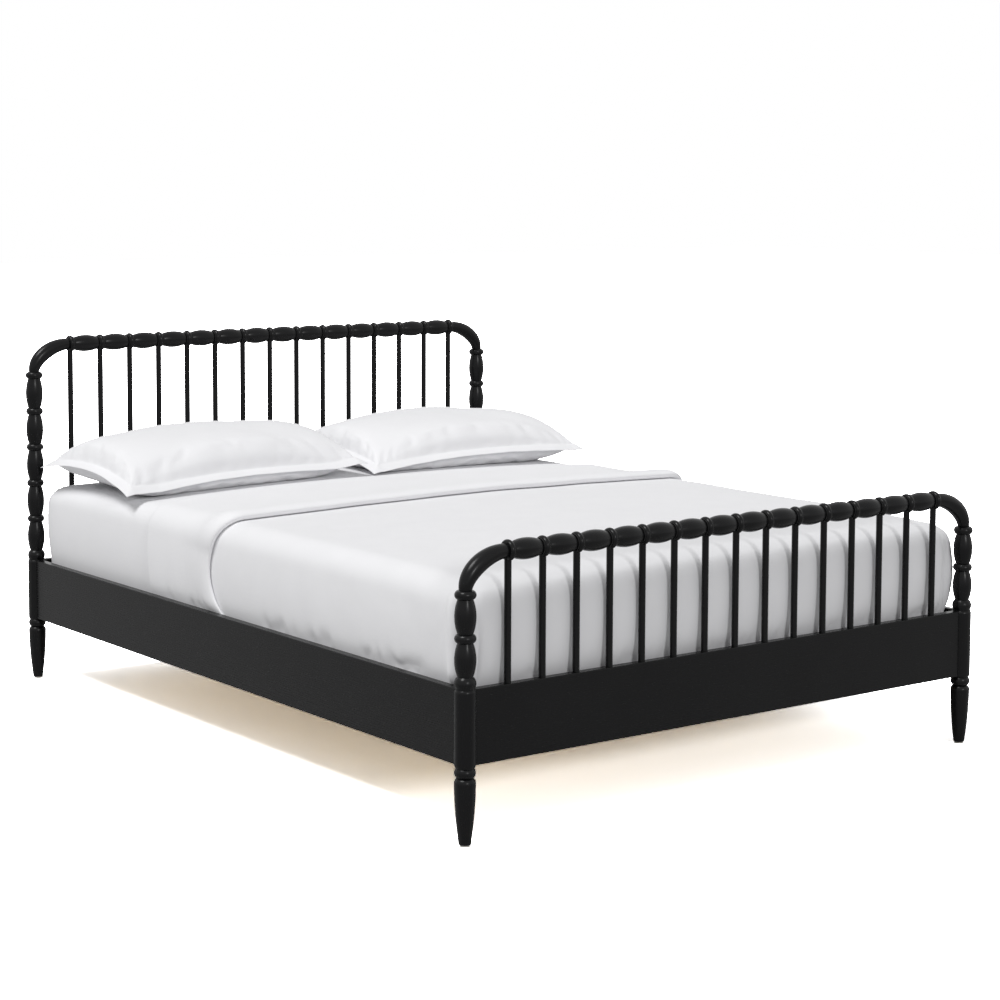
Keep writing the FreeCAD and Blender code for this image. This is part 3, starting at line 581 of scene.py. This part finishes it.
def bend_at(t, run, rise):
    """A place on the elbow's centre line, t of the way along, and the way the line goes there."""
    poles = ((0, 0), (0, rise * BEND_REACH), (run * (1 - BEND_REACH), rise), (run, rise))
    weights = ((1 - t) ** 3, 3 * t * (1 - t) ** 2, 3 * t * t * (1 - t), t ** 3)
    slopes = ((1 - t) ** 2, 2 * t * (1 - t), t * t)
    x, z = (sum(w * pole[k] for w, pole in zip(weights, poles)) for k in (0, 1))
    dx, dz = (sum(s * (b[k] - a[k]) for s, a, b in zip(slopes, poles, poles[1:])) for k in (0, 1))
    return Vector((x, 0, z)), Vector((dx, 0, dz)).normalized()


def bend_elbow(end, side):
    """The swelling bend from a post's top bead to the first ring of the top rail."""
    node = "%s_elbow_%s" % (end, side)
    post_low, post_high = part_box("%s_post_%s" % (end, side))
    rail_low, rail_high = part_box("%s_top_rail" % end)
    start = Vector(((post_low.x + post_high.x) / 2, (post_low.y + post_high.y) / 2, post_high.z))
    toward = -1 if side == "right" else 1
    ring_face = rail_low.x if side == "left" else rail_high.x
    run = abs(ring_face - start.x)
    rise = ELBOW_RISE - BEAD_H / 2
    vertices = []
    for number in range(ELBOW_STEPS + 1):
        t = number / ELBOW_STEPS
        middle, ahead = bend_at(t, run, rise)
        outwards = Vector((-ahead.z, 0, ahead.x))
        ends = ELBOW_LOW_R + (ELBOW_END_R - ELBOW_LOW_R) * t
        r = ends + (ELBOW_MID_R - (ELBOW_LOW_R + ELBOW_END_R) / 2) * math.sin(math.pi * t)
        for k in range(LATHE_SIDES):
            angle = 2 * math.pi * k / LATHE_SIDES
            point = middle + outwards * r * math.cos(angle)
            point.y = r * math.sin(angle)
            vertices.append((start.x + toward * point.x, start.y + point.y, start.z + point.z))
    faces = ringed_faces(ELBOW_STEPS + 1, LATHE_SIDES)
    if toward > 0:
        faces = [tuple(reversed(face)) for face in faces]
    obj = mesh_piece(node + "_bent", vertices, faces)
    shade_crisply(obj.data)
    finished(obj, BLACK_ACROSS, "bed_frame", [node], smooth=False)


def finish_cad_nodes():
    """The flat and hidden pieces stay as they are and get their finishes, by a word in their names;
    of two words that fit, the later one holds."""
    finishes = {
        "side_rail": BLACK_LENGTHWISE,
        "panel": BLACK_ACROSS,
        "spindle": BLACK_UPRIGHT,
        "cleat": PINE_LENGTHWISE,
        "beam": PINE_LENGTHWISE,
        "slats": PINE_ACROSS,
        "beam_rests": PINE_ACROSS,
        "centre_legs": PINE_UPRIGHT,
        "glides": NYLON,
        "brackets": ZINC,
        "bolts": ZINC,
    }
    for name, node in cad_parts.items():
        for word, material in finishes.items():
            if word in name:
                node.data.materials.clear()
                node.data.materials.append(material)
                shade_crisply(node.data)


# ---------------- the mattress's form

HALF_X = MATTRESS_HIGH.x
HALF_Y = MATTRESS_HIGH.y
TOP_Z = MATTRESS_HIGH.z
FLAT_BAND = CORNER_R - EDGE_R           # level strip round the corner before the edge turns down
SIDE_START = FLAT_BAND + EDGE_R * math.pi / 2
SIDE_DROP = TOP_Z - CROWN_X - EDGE_R - HEM_Z
REACH = SIDE_START + SIDE_DROP          # cloth beyond the corner's centre, down to the hem
NOISE_SHIFT = (7.3, 3.1, 5.7)           # takes each seed to a stretch of noise of its own
TINY = 1e-9                             # lengths below this count as none
TINY_AREA = 1e-12


def ripple(points, size, seed):
    """Smooth noise from -1 to 1 at each point; size is the width of one swell in metres."""
    shift = Vector([seed * stride for stride in NOISE_SHIFT])
    swells = [noise.noise(Vector(p) / size + shift) for p in points.reshape(-1, 3)]
    return np.array(swells).reshape(points.shape[:-1])


def crown(x, y):
    """Height of the mattress's top at a place."""
    across = np.clip(np.abs(x) / (HALF_X - EDGE_R), 0, 1)
    along = np.clip(np.abs(y) / (HALF_Y - EDGE_R), 0, 1)
    end_fall = CROWN_Y * along ** CROWN_POWER_Y * (1 - CROWN_CORNER_EASE * across ** CROWN_POWER_X)
    return TOP_Z - CROWN_X * across ** CROWN_POWER_X - end_fall


def form(s, t):
    """Lays cloth places (s across, t along, both from the bed's middle) on the mattress's form."""
    inner_x, inner_y = HALF_X - CORNER_R, HALF_Y - CORNER_R
    p = np.maximum(np.abs(s) - inner_x, 0)
    q = np.maximum(np.abs(t) - inner_y, 0)
    far = np.maximum(np.maximum(p, q), TINY)
    angle = np.where(p >= q, math.pi / 4 * q / far, math.pi / 2 - math.pi / 4 * p / far)
    turn = np.clip((far - FLAT_BAND) / EDGE_R, 0, math.pi / 2)
    radius = np.minimum(far, FLAT_BAND) + EDGE_R * np.sin(turn)
    radius /= (np.cos(angle) ** CORNER_SQUARE + np.sin(angle) ** CORNER_SQUARE) ** (1 / CORNER_SQUARE)
    x = np.sign(s) * (np.minimum(np.abs(s), inner_x) + radius * np.cos(angle) * (p + q > 0))
    y = np.sign(t) * (np.minimum(np.abs(t), inner_y) + radius * np.sin(angle) * (p + q > 0))
    shoulder = crown(x, y) - EDGE_R * (1 - np.cos(turn))
    down = np.clip((far - SIDE_START) / SIDE_DROP, 0, None)
    z = shoulder - down * (shoulder - HEM_Z) * (far > SIDE_START)
    side_rise = np.clip((z - RAIL_TOP) / (TOP_Z - RAIL_TOP), 0, 1)
    bulge = SIDE_BULGE * np.sin(side_rise * math.pi) * (far > FLAT_BAND)
    x += np.sign(s) * bulge * np.cos(angle) * (p > 0)
    y += np.sign(t) * bulge * np.sin(angle) * (q > 0)
    return np.stack([x, y, z], -1)


def lifted(s, t, height):
    """Cloth places raised off the form along its outward direction."""
    across = form(s + SLOPE_STEP, t) - form(s - SLOPE_STEP, t)
    along = form(s, t + SLOPE_STEP) - form(s, t - SLOPE_STEP)
    out = np.cross(across, along)
    out /= np.maximum(np.linalg.norm(out, axis=-1, keepdims=True), TINY_AREA)
    return form(s, t) + out * height[..., None]


def grid(name, points):
    """A quad mesh over rows and columns of points, facing up."""
    rows, columns = points.shape[:2]
    faces = [
        (r * columns + c, r * columns + c + 1, (r + 1) * columns + c + 1, (r + 1) * columns + c)
        for r in range(rows - 1) for c in range(columns - 1)
    ]
    return mesh_piece(name, points.reshape(-1, 3), faces)


def apply_modifiers(obj):
    """Bakes an object's modifiers into its mesh."""
    depsgraph = bpy.context.evaluated_depsgraph_get()
    baked = bpy.data.meshes.new_from_object(obj.evaluated_get(depsgraph))
    obj.modifiers.clear()
    obj.data = baked


def make_finer(obj):
    """Adds one round of subdivision."""
    finer = obj.modifiers.new("finer", "SUBSURF")
    finer.levels = 1
    finer.render_levels = 1


def thicken(obj, thickness, finer=True):
    """Gives a cloth its thickness, inwards, and a finer mesh where it has folds to show."""
    solid = obj.modifiers.new("thickness", "SOLIDIFY")
    solid.thickness = thickness
    solid.offset = -1
    if finer:
        make_finer(obj)
    apply_modifiers(obj)


def steps_between(low, high, step=CLOTH_STEP):
    """Evenly spaced places from low to high, about a step apart."""
    return np.linspace(low, high, max(2, round(abs(high - low) / step) + 1))


# ---------------- bedding

EDGE_S = HALF_X - CORNER_R + REACH      # cloth's half width, down to the hems
EDGE_T = HALF_Y - CORNER_R + REACH


def side_share(points):
    """0 on the top, 1 on the sides and ends, by how far a place lies below the top."""
    below = crown(points[..., 0], points[..., 1]) - EDGE_R / 2 - points[..., 2]
    return np.clip(below / EDGE_R, 0, 1)


def tucked_share(points):
    """1 where cloth is held behind the rails, fading out above them."""
    return np.clip((RAIL_TOP + FREE_ABOVE - points[..., 2]) / FREE_FADE, 0, 1)


def bump_at(value, place, width):
    """A smooth hump, 1 high at place."""
    return np.exp(-((value - place) / width) ** 2)


def corner_folds(s, t, base):
    """The coverlet's spare cloth at a corner: an ear towards the side and a crease beside it."""
    p = np.maximum(np.abs(s) - HALF_X + CORNER_R, 0)
    q = np.maximum(np.abs(t) - HALF_Y + CORNER_R, 0)
    lower = np.clip((TOP_Z - EAR_DROP - base[..., 2]) / EAR_GROW, 0, 1)
    at_corner = np.clip(np.minimum(p, q) / EAR_FADE, 0, 1) * lower
    sway = EAR_SWAY * ripple(base * np.array([0, 0, 1.0]), EAR_SWAY_SIZE, seed=6)
    turn = np.arctan2(q, p) / (math.pi / 2) + sway
    ear = EAR_H * bump_at(turn, EAR_TURN, EAR_WIDTH)
    crease = EAR_CREASE_DEPTH * bump_at(turn, EAR_CREASE_TURN, EAR_CREASE_WIDTH)
    return (ear - crease) * at_corner


def rail_pinches(base):
    """Small pinches where the coverlet dives behind the rails."""
    uneven = ripple(base * np.array([1, 1, 0]), PATCH_SIZE, seed=9)
    patches = np.clip(uneven * PATCH_CONTRAST + PATCH_BIAS, 0, 1)
    near = bump_at(base[..., 2], RAIL_TOP + PINCH_RISE, PINCH_BAND)
    along_rail = base * np.array([1, 1, PINCH_RUN])
    pinches = np.clip(1 - PINCH_NARROW * np.abs(ripple(along_rail, PINCH_SIZE, seed=10)), 0, 1)
    return -(PINCH_LEAST + PINCH_MOST * patches * pinches) * MM * near


def coverlet_wrinkles(s, t, base):
    """Raised relief of the coverlet: slow swells on top, hanging folds and corner gathers below."""
    side = side_share(base)
    free = 1 - tucked_share(base)
    flat_place = np.stack([s, t, np.zeros_like(s)], -1)
    slow = ripple(flat_place, SWELL_SIZE, seed=1)
    small = ripple(flat_place, SMALL_SWELL_SIZE, seed=2)
    swells = SWELL_H * (slow + SMALL_SWELL_SHARE * small)
    stretched = flat_place * np.array(TOP_CREASE_RUN)
    creases = TOP_CREASE_H * np.abs(ripple(stretched, TOP_CREASE_SIZE, seed=3))
    along_outline = base * np.array([1, 1, HANG_RUN])
    hanging = HANG_H * ripple(along_outline, HANG_SIZE, seed=4)
    beyond_corner = np.minimum(np.abs(s) - HALF_X, np.abs(t) - HALF_Y)
    near_corner = np.clip((beyond_corner + GATHER_REACH) / GATHER_REACH, 0, 1)
    gathers = GATHER_H * near_corner * np.abs(ripple(along_outline, GATHER_SIZE, seed=5))
    raised = (swells + creases) * (1 - side) + hanging * side * free + gathers * side * free
    raised += corner_folds(s, t, base) * free + rail_pinches(base)
    return raised + FREE_EASE * free + COVERLET_EASE


def fitted_sheet():
    """The sheet drawn tight over the mattress, which shows in front of the pillows."""
    s, t = np.meshgrid(steps_between(-EDGE_S, EDGE_S), steps_between(-EDGE_T, EDGE_T))
    along_outline = form(s, t) * np.array([1, 1, FITTED_WAVE_RUN])
    waves = FITTED_WAVE * (1 + ripple(along_outline, FITTED_WAVE_SIZE, seed=8))
    obj = grid("fitted_sheet_percale", lifted(s, t, FITTED_OFF + waves))
    thicken(obj, SHEET_T, finer=False)
    finished(obj, PERCALE, "mattress_set", ["fitted_sheet"])


def coverlet():
    """The white cover, from under the cuff to the foot, tucked in behind the rails."""
    s, t = np.meshgrid(steps_between(-EDGE_S, EDGE_S), steps_between(-EDGE_T, COVERLET_HEAD_Y))
    base = form(s, t)
    obj = grid("coverlet_washed_cotton", lifted(s, t, COVERLET_OFF + coverlet_wrinkles(s, t, base)))
    thicken(obj, COVERLET_T)
    finished(obj, WASHED_COTTON, "mattress_set", ["coverlet"])


def cuff_path():
    """The flat sheet's way along the bed, as (t, height): from under the rolled edge, up and over
    it, back to the fold by the pillows, and down under the coverlet."""
    bottom = COVERLET_OFF + CUFF_GAP
    crest = CUFF_OFF + CUFF_ROLL
    front = bottom + CUFF_FRONT * (crest - bottom)
    under, face = CUFF_NOSE
    path = [(CUFF_EDGE_Y + back, bottom) for back in (*CUFF_TURN_UNDER, under)]
    for k in range(1, CUFF_UNDER_STEPS + 1):
        a = math.pi / 2 * (k / CUFF_UNDER_STEPS - 1)
        path.append((CUFF_EDGE_Y + under * (1 - math.cos(a)), front + (front - bottom) * math.sin(a)))
    for k in range(1, CUFF_FACE_STEPS + 1):
        a = math.pi / 2 * k / CUFF_FACE_STEPS
        path.append((CUFF_EDGE_Y + face * (1 - math.cos(a)), front + (crest - front) * math.sin(a)))
    for t in steps_between(CUFF_EDGE_Y + face, FOLD_Y - FOLD_APPROACH)[1:]:
        fall = bump_at(t, CUFF_EDGE_Y + face, CUFF_ROLL_WIDTH)
        path.append((t, CUFF_OFF + CUFF_ROLL * fall))
    fold_r = (CUFF_OFF - UNDER_SHEET_OFF) / 2
    for k in range(1, FOLD_STEPS):
        a = math.pi * k / FOLD_STEPS
        path.append((FOLD_Y - fold_r + fold_r * math.sin(a), CUFF_OFF - fold_r * (1 - math.cos(a))))
    for t in steps_between(FOLD_Y - fold_r, -EDGE_T, 2 * CLOTH_STEP):
        path.append((t, UNDER_SHEET_OFF))
    return np.array(path)


def top_sheet():
    """The flat sheet: its cuff lies over the coverlet, and the rest under it."""
    path = cuff_path()
    across = steps_between(-EDGE_S, EDGE_S)
    s, t = np.meshgrid(across, path[:, 0])
    height = np.repeat(path[:, 1:2], len(across), 1)
    over = height > COVERLET_OFF
    drop = TOP_Z - form(s, t)[..., 2]
    sway = CUFF_SWAY * np.clip(1 - ((drop - CUFF_SWAY_DROP) / CUFF_SWAY_REACH) ** 2, 0, 1)
    sway *= np.clip((FOLD_Y - t) / (FOLD_Y - CUFF_EDGE_Y), 0, 1) * over
    t = t + sway
    base = form(s, t)
    thin = 1 - CUFF_THIN_SIDE * side_share(base) - CUFF_THIN_TUCK * tucked_share(base)
    loft = (height - COVERLET_OFF) * np.clip(thin, CUFF_THIN_LEAST, 1)
    height = np.where(over, COVERLET_OFF + loft + coverlet_wrinkles(s, t, base), height)
    obj = grid("flat_sheet_percale", lifted(s, t, height)[::-1])
    thicken(obj, SHEET_T)
    finished(obj, PERCALE, "mattress_set", ["top_sheet"])


TAPE_R = 5.0 * MM               # the rolled tape round the lower edge
TAPE_STEPS = 6
TAPE_CLEAR = 2.4                # tape radii from the lowest edge up to the border panel
BORDER_INSET = 2.0 * MM
BORDER_SHARES = (0.0, 0.25, 0.5, 0.75, 1.0)
PAD_EDGE_STEPS = 8
PAD_TOP_RINGS = (0.08, 0.14, 0.24, 0.36, 0.48, 0.60, 0.70)
PAD_BASE_RINGS = (0.9 * HALF_X, 0.5 * HALF_X, 0.10)
PAD_BASE_RISE = 1.0 * MM        # of the underside over the tape's lowest line
PAD_TOP_GAP = 1.0 * MM          # between the ticking and the form that the sheets are laid on
TIGHTEST_CORNER = 4.0 * MM


def rounded_outline(inset, corner_steps=8, side_steps=24):
    """The mattress's plan outline drawn in by inset."""
    half_x, half_y = HALF_X - inset, HALF_Y - inset
    r = max(CORNER_R - inset, TIGHTEST_CORNER)
    corners = ((1, 1), (-1, 1), (-1, -1), (1, -1))
    points = []
    for quarter, (cx, cy) in enumerate(corners):
        for k in range(corner_steps + 1):
            a = math.pi / 2 * (quarter + k / corner_steps)
            points.append((cx * (half_x - r) + r * math.cos(a), cy * (half_y - r) + r * math.sin(a)))
        nx, ny = corners[(quarter + 1) % 4]
        x0, y0 = points[-1]
        if quarter % 2 == 0:
            x1, y1 = nx * (half_x - r), y0
        else:
            x1, y1 = x0, ny * (half_y - r)
        for k in range(1, side_steps):
            points.append((x0 + (x1 - x0) * k / side_steps, y0 + (y1 - y0) * k / side_steps))
    return points


def mattress_pad():
    """The mattress: a border panel over a taped edge, and a crowned top."""
    low = MATTRESS_LOW.z
    rings = [(inset, low + PAD_BASE_RISE) for inset in PAD_BASE_RINGS]
    # the tape's first ring is there twice, which keeps the edge of the underside crisp
    rings.append((TAPE_R, low))
    for k in range(TAPE_STEPS + 1):
        a = math.pi * k / TAPE_STEPS
        rings.append((TAPE_R - TAPE_R * math.sin(a), low + TAPE_R * (1 - math.cos(a))))
    border_low = low + TAPE_CLEAR * TAPE_R
    border_high = TOP_Z - CROWN_X - EDGE_R
    for share in BORDER_SHARES:
        rings.append((BORDER_INSET, border_low + (border_high - border_low) * share))
    tops = []
    for k in range(1, PAD_EDGE_STEPS + 1):
        a = math.pi / 2 * k / PAD_EDGE_STEPS
        inset = EDGE_R * (1 - math.cos(a)) + BORDER_INSET * (1 - k / PAD_EDGE_STEPS)
        tops.append((inset, EDGE_R * (1 - math.sin(a))))
    tops += [(inset, 0.0) for inset in PAD_TOP_RINGS]
    vertices = []
    for inset, z in rings:
        vertices += [(x, y, z) for x, y in rounded_outline(inset)]
    for inset, fall in tops:
        for x, y in rounded_outline(inset):
            vertices.append((x, y, float(crown(x, y)) - fall - PAD_TOP_GAP))
    faces = ringed_faces(len(rings) + len(tops), len(rounded_outline(0)))
    obj = mesh_piece("mattress_pad", vertices, faces)
    finished(obj, TICKING, "mattress_set", ["mattress"])


# ---------------- pillows

PILLOW_CROWN = {"left": 103.0 * MM, "right": 95.0 * MM}    # above the seam, before it settles
PILLOW_BELLY = 60.0 * MM        # below it, before the bed flattens it
PILLOW_SEAM_H = 36.7 * MM       # the seam's middle over the top of the mattress
PILLOW_DRAW_IN = 14.0 * MM      # how far the sides pull in between the corners
PILLOW_FULLNESS = 0.36          # lower is fuller towards the seam
BELLY_FULLNESS = 0.20
PILLOW_SQUARE = (1.9, 2.3)      # higher keeps the middle flatter, along and across
CORNER_TAPER = (2.6, 1.3)       # how soon and how strongly the stuffing thins into the corners
PILLOW_TILT = math.radians(3.2)
PILLOW_ROLL = {"left": math.radians(1.0), "right": math.radians(0.8)}
PILLOW_YAW = {"left": math.radians(1.2), "right": 0.0}
# how far the seam rises towards the ends and the sides of the case
SEAM_ARCH = {"left": (34.0 * MM, 20.0 * MM), "right": (26.0 * MM, 24.0 * MM)}
PILLOW_SEED = {"left": 11, "right": 23}
PILLOW_THREADS = (81, 55)       # grid lines over the filled part, along and across
FLANGE = 26.0 * MM
FLANGE_T = 2.4 * MM
FLANGE_DROOP = 13.0 * MM        # the hem hangs this far below the seam
# the corners below the middles of the sides: those at the left end, those at the right end
CORNER_DROOP = {"left": (32.0 * MM, 14.0 * MM), "right": (24.0 * MM, 18.0 * MM)}
FLANGE_WAVE = 1.6 * MM
FLANGE_WAVE_SIZE = 0.05
FLANGE_LINES = (0.0, 1.2 * MM, 9.0 * MM, 17.0 * MM)        # grid lines in from the hem
STITCH_W = 2.5 * MM             # from the seam out to the nearest of them
SEAM_T = 0.8 * MM               # pinched where the panels are stitched together
STUFFING_LUMPS = 3.5 * MM
LUMP_SIZE = 0.17
ON_SEAM = 1e-6                  # places this near to the seam or hem count as on it
PILLOW_GAP = 1.2 * MM           # between the pillows and the fitted sheet
SPARE_CLOTH = 0.022             # the case is cut this much larger than its stuffing
STUFFING_PRESSURE = 3.5
SETTLE_FRAMES = 20
SETTLE_LIMIT = 7.0 * MM         # the furthest that cloth moves as it settles


def case_lines(half, count):
    """Grid lines across the flat case: hem, flange, seam, and the body between the seams."""
    body = half - FLANGE
    edge = np.array([half - inset for inset in FLANGE_LINES] + [body + STITCH_W])
    inner = body * np.sin(np.linspace(-1, 1, count) * math.pi / 2)
    return np.concatenate([-edge, inner, edge[::-1]])


def bed_under(places):
    """The height at which a pillow lies on the bed, at each place."""
    return crown(places[:, 0], places[:, 1]) + FITTED_OFF + PILLOW_GAP


def case_faces(hem):
    """The faces of the case's two panels, which share their places along the hem."""
    rows, columns = hem.shape
    number = np.arange(rows * columns).reshape(rows, columns)
    under = np.where(hem, number, number + rows * columns)
    faces = []
    for r in range(rows - 1):
        for c in range(columns - 1):
            corners = ((r, c), (r, c + 1), (r + 1, c + 1), (r + 1, c))
            faces.append(tuple(int(number[k]) for k in corners))
            faces.append(tuple(int(under[k]) for k in reversed(corners)))
    return faces


def fullness(across, along):
    """How full the case is: 1 in its middle, 0 at the seam, and thin in the corners."""
    filled = (1 - across ** PILLOW_SQUARE[0]) * (1 - along ** PILLOW_SQUARE[1])
    return filled * (1 - (across * along) ** CORNER_TAPER[0]) ** CORNER_TAPER[1]


def seam_height(side, across, along, share_x, share_y):
    """Height of the seam and flange: arched towards the edges, with drooping corners."""
    arch = np.maximum(SEAM_ARCH[side][0] * across ** 2, SEAM_ARCH[side][1] * along ** 2)
    corner = (np.abs(share_x) * np.abs(share_y)) ** 2
    return arch - np.where(share_x < 0, *CORNER_DROOP[side]) * corner


def pillow_turn(side):
    """How the pillow lies: higher at the head, rolled and turned a little."""
    turn = Matrix.Rotation(PILLOW_TILT, 3, "X") @ Matrix.Rotation(-PILLOW_ROLL[side], 3, "Y")
    return np.array(Matrix.Rotation(PILLOW_YAW[side], 3, "Z") @ turn)


def filled_case(side):
    """The case, stuffed and lying on the bed, as a closed grid: places, faces, and the places that
    are held by the flat flange, the seam and the bed."""
    low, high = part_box("pillow_%s" % side)
    half = np.array([high.x - low.x, high.y - low.y]) / 2
    flat_x, flat_y = np.meshgrid(*(case_lines(h, n) for h, n in zip(half, PILLOW_THREADS)))
    across = np.clip(np.abs(flat_x) / (half[0] - FLANGE), 0, 1)
    along = np.clip(np.abs(flat_y) / (half[1] - FLANGE), 0, 1)
    filled = fullness(across, along)
    # distance out from the seam, over the flange
    out = np.maximum(np.abs(flat_x) - half[0], np.abs(flat_y) - half[1]) + FLANGE
    thick = np.where(out > ON_SEAM, FLANGE_T, SEAM_T) / 2
    hem = out > FLANGE - ON_SEAM
    thick[hem] = 0
    share_x, share_y = flat_x / half[0], flat_y / half[1]
    x = flat_x - PILLOW_DRAW_IN * share_x * np.abs(share_x) * (1 - share_y ** 2)
    y = flat_y - PILLOW_DRAW_IN * share_y * np.abs(share_y) * (1 - share_x ** 2)
    plan = np.stack([x, y, np.zeros_like(x)], -1)
    seam = seam_height(side, across, along, share_x, share_y)
    flange_share = np.clip(out / FLANGE, 0, 1)
    seam -= flange_share * FLANGE_DROOP
    waves = ripple(plan, FLANGE_WAVE_SIZE, seed=PILLOW_SEED[side] + 1)
    seam += flange_share * FLANGE_WAVE * waves
    lumps = STUFFING_LUMPS * ripple(plan, LUMP_SIZE, seed=PILLOW_SEED[side])
    swell = filled ** PILLOW_FULLNESS * (PILLOW_CROWN[side] + lumps)
    belly = filled ** BELLY_FULLNESS * PILLOW_BELLY
    top = np.stack([x, y, seam + thick + swell], -1)
    bottom = np.stack([x, y, seam - thick - belly], -1)
    middle = np.array([(low.x + high.x) / 2, (low.y + high.y) / 2, TOP_Z + PILLOW_SEAM_H])
    places = np.concatenate([top.reshape(-1, 3), bottom.reshape(-1, 3)])
    places = places @ pillow_turn(side).T + middle
    bed = bed_under(places)
    held = np.concatenate([(out > -ON_SEAM).ravel()] * 2) | (places[:, 2] < bed)
    places[:, 2] = np.maximum(places[:, 2], bed)
    return places, case_faces(hem), held


def settle(obj, held):
    """Lets the case's spare cloth pucker over the stuffing, between the seams that hold it."""
    start = np.array([v.co for v in obj.data.vertices])
    seams = obj.vertex_groups.new(name="seams")
    stuffed = obj.vertex_groups.new(name="stuffed")
    seams.add([int(k) for k in np.flatnonzero(held)], 1.0, "ADD")
    stuffed.add([int(k) for k in np.flatnonzero(~held)], 1.0, "ADD")
    cloth = obj.modifiers.new("cloth", "CLOTH")
    cloth.settings.quality = 6
    cloth.settings.mass = 0.3
    cloth.settings.tension_stiffness = 20
    cloth.settings.compression_stiffness = 20
    cloth.settings.shear_stiffness = 8
    cloth.settings.bending_stiffness = 0.4
    cloth.settings.shrink_min = -SPARE_CLOTH
    cloth.settings.use_pressure = True
    cloth.settings.uniform_pressure_force = STUFFING_PRESSURE
    cloth.settings.vertex_group_pressure = "stuffed"
    cloth.settings.vertex_group_mass = "seams"
    cloth.settings.effector_weights.gravity = 0
    cloth.point_cache.frame_start = 1
    cloth.point_cache.frame_end = SETTLE_FRAMES
    for number in range(1, SETTLE_FRAMES + 1):
        bpy.context.scene.frame_set(number)
    apply_modifiers(obj)
    bpy.context.scene.frame_set(1)
    moved = np.array([v.co for v in obj.data.vertices]) - start
    length = np.maximum(np.linalg.norm(moved, axis=1, keepdims=True), TINY)
    settled = start + moved / length * SETTLE_LIMIT * np.tanh(length / SETTLE_LIMIT)
    settled[:, 2] = np.maximum(settled[:, 2], bed_under(settled))
    obj.data.vertices.foreach_set("co", settled.astype(np.float32).ravel())


def pillow(side):
    """A flanged pillow in its case, lying on the bed."""
    places, faces, held = filled_case(side)
    used = sorted({k for face in faces for k in face})
    renumbered = {old: new for new, old in enumerate(used)}
    faces = [tuple(renumbered[k] for k in face) for face in faces]
    obj = mesh_piece("pillow_%s_case" % side, places[used], faces)
    settle(obj, held[used])
    make_finer(obj)
    apply_modifiers(obj)
    finished(obj, PERCALE, side + "_pillow", ["pillow_%s" % side])


# ---------------- floor and light

FLOOR_REACH = 30.0
FLOOR_WHITE = 5.5               # how white the camera sees the lit floor
FLOOR_PALE = 0.62               # how pale all other rays see it
SKY_STRENGTH = 0.30             # of the surroundings as light; seen directly, they are white
# each lamp: its name, the way its light goes, its strength, and its width in degrees
LAMPS = (
    ("side_light", (0.53, 0.0, -1.0), 2.12, 22),
    ("foot_light", (0.16, 1.0, -0.38), 0.70, 10),
)


def seen_directly(tree):
    """1 for rays that show the backdrop itself: straight, mirrored or through glass."""
    path = add(tree, "LightPath")
    straight_or_mirrored = add(tree, "Math", {
        0: path.outputs["Is Camera Ray"], 1: path.outputs["Is Glossy Ray"],
    }, operation="MAXIMUM").outputs[0]
    return add(tree, "Math", {
        0: straight_or_mirrored, 1: path.outputs["Is Transmission Ray"],
    }, operation="MAXIMUM").outputs[0]


def make_floor():
    """A plain pale floor that keeps the bed's soft shadow and fades into the white backdrop."""
    r = FLOOR_REACH
    floor = mesh_piece("floor", [(-r, -r, 0), (r, -r, 0), (r, r, 0), (-r, r, 0)], [(0, 1, 2, 3)])
    material = bpy.data.materials.new("plain_pale_floor")
    material.use_nodes = True
    tree = material.node_tree
    tree.nodes.clear()
    tone = add(tree, "Mix", {
        "Factor": add(tree, "LightPath").outputs["Is Camera Ray"],
        MIX_FROM: (FLOOR_PALE, FLOOR_PALE, FLOOR_PALE, 1),
        MIX_TO: (FLOOR_WHITE, FLOOR_WHITE, FLOOR_WHITE, 1),
    }, data_type="RGBA").outputs[MIX_COLOUR]
    matt = add(tree, "BsdfDiffuse", {"Color": tone})
    add(tree, "OutputMaterial", {"Surface": matt.outputs[0]})
    floor.data.materials.append(material)


def make_light():
    """White studio surroundings, with one soft light from the left and one low from the foot."""
    world = bpy.data.worlds.new("studio")
    bpy.context.scene.world = world
    world.use_nodes = True
    tree = world.node_tree
    tree.nodes.clear()
    brightness = add(tree, "MapRange", {
        "Value": seen_directly(tree), "To Min": SKY_STRENGTH, "To Max": 1.0,
    }).outputs[0]
    sky = add(tree, "Background", {"Color": (1, 1, 1, 1), "Strength": brightness})
    add(tree, "OutputWorld", {"Surface": sky.outputs[0]})
    for name, direction, strength, spread in LAMPS:
        lamp = bpy.data.lights.new(name, "SUN")
        lamp.energy = strength
        lamp.angle = math.radians(spread)
        obj = bpy.data.objects.new(name, lamp)
        obj.rotation_mode = "QUATERNION"
        obj.rotation_quaternion = Vector(direction).to_track_quat("-Z", "Y")
        bpy.context.collection.objects.link(obj)
    bpy.context.scene.view_settings.view_transform = "Standard"


# ---------------- the whole bed

make_camera()
for post_end, post_side in POSTS:
    turn_post(post_end, post_side)
    bend_elbow(post_end, post_side)
turn_top_rail("head")
turn_top_rail("foot")
finish_cad_nodes()
mattress_pad()
fitted_sheet()
coverlet()
top_sheet()
pillow("left")
pillow("right")
make_floor()
make_light()
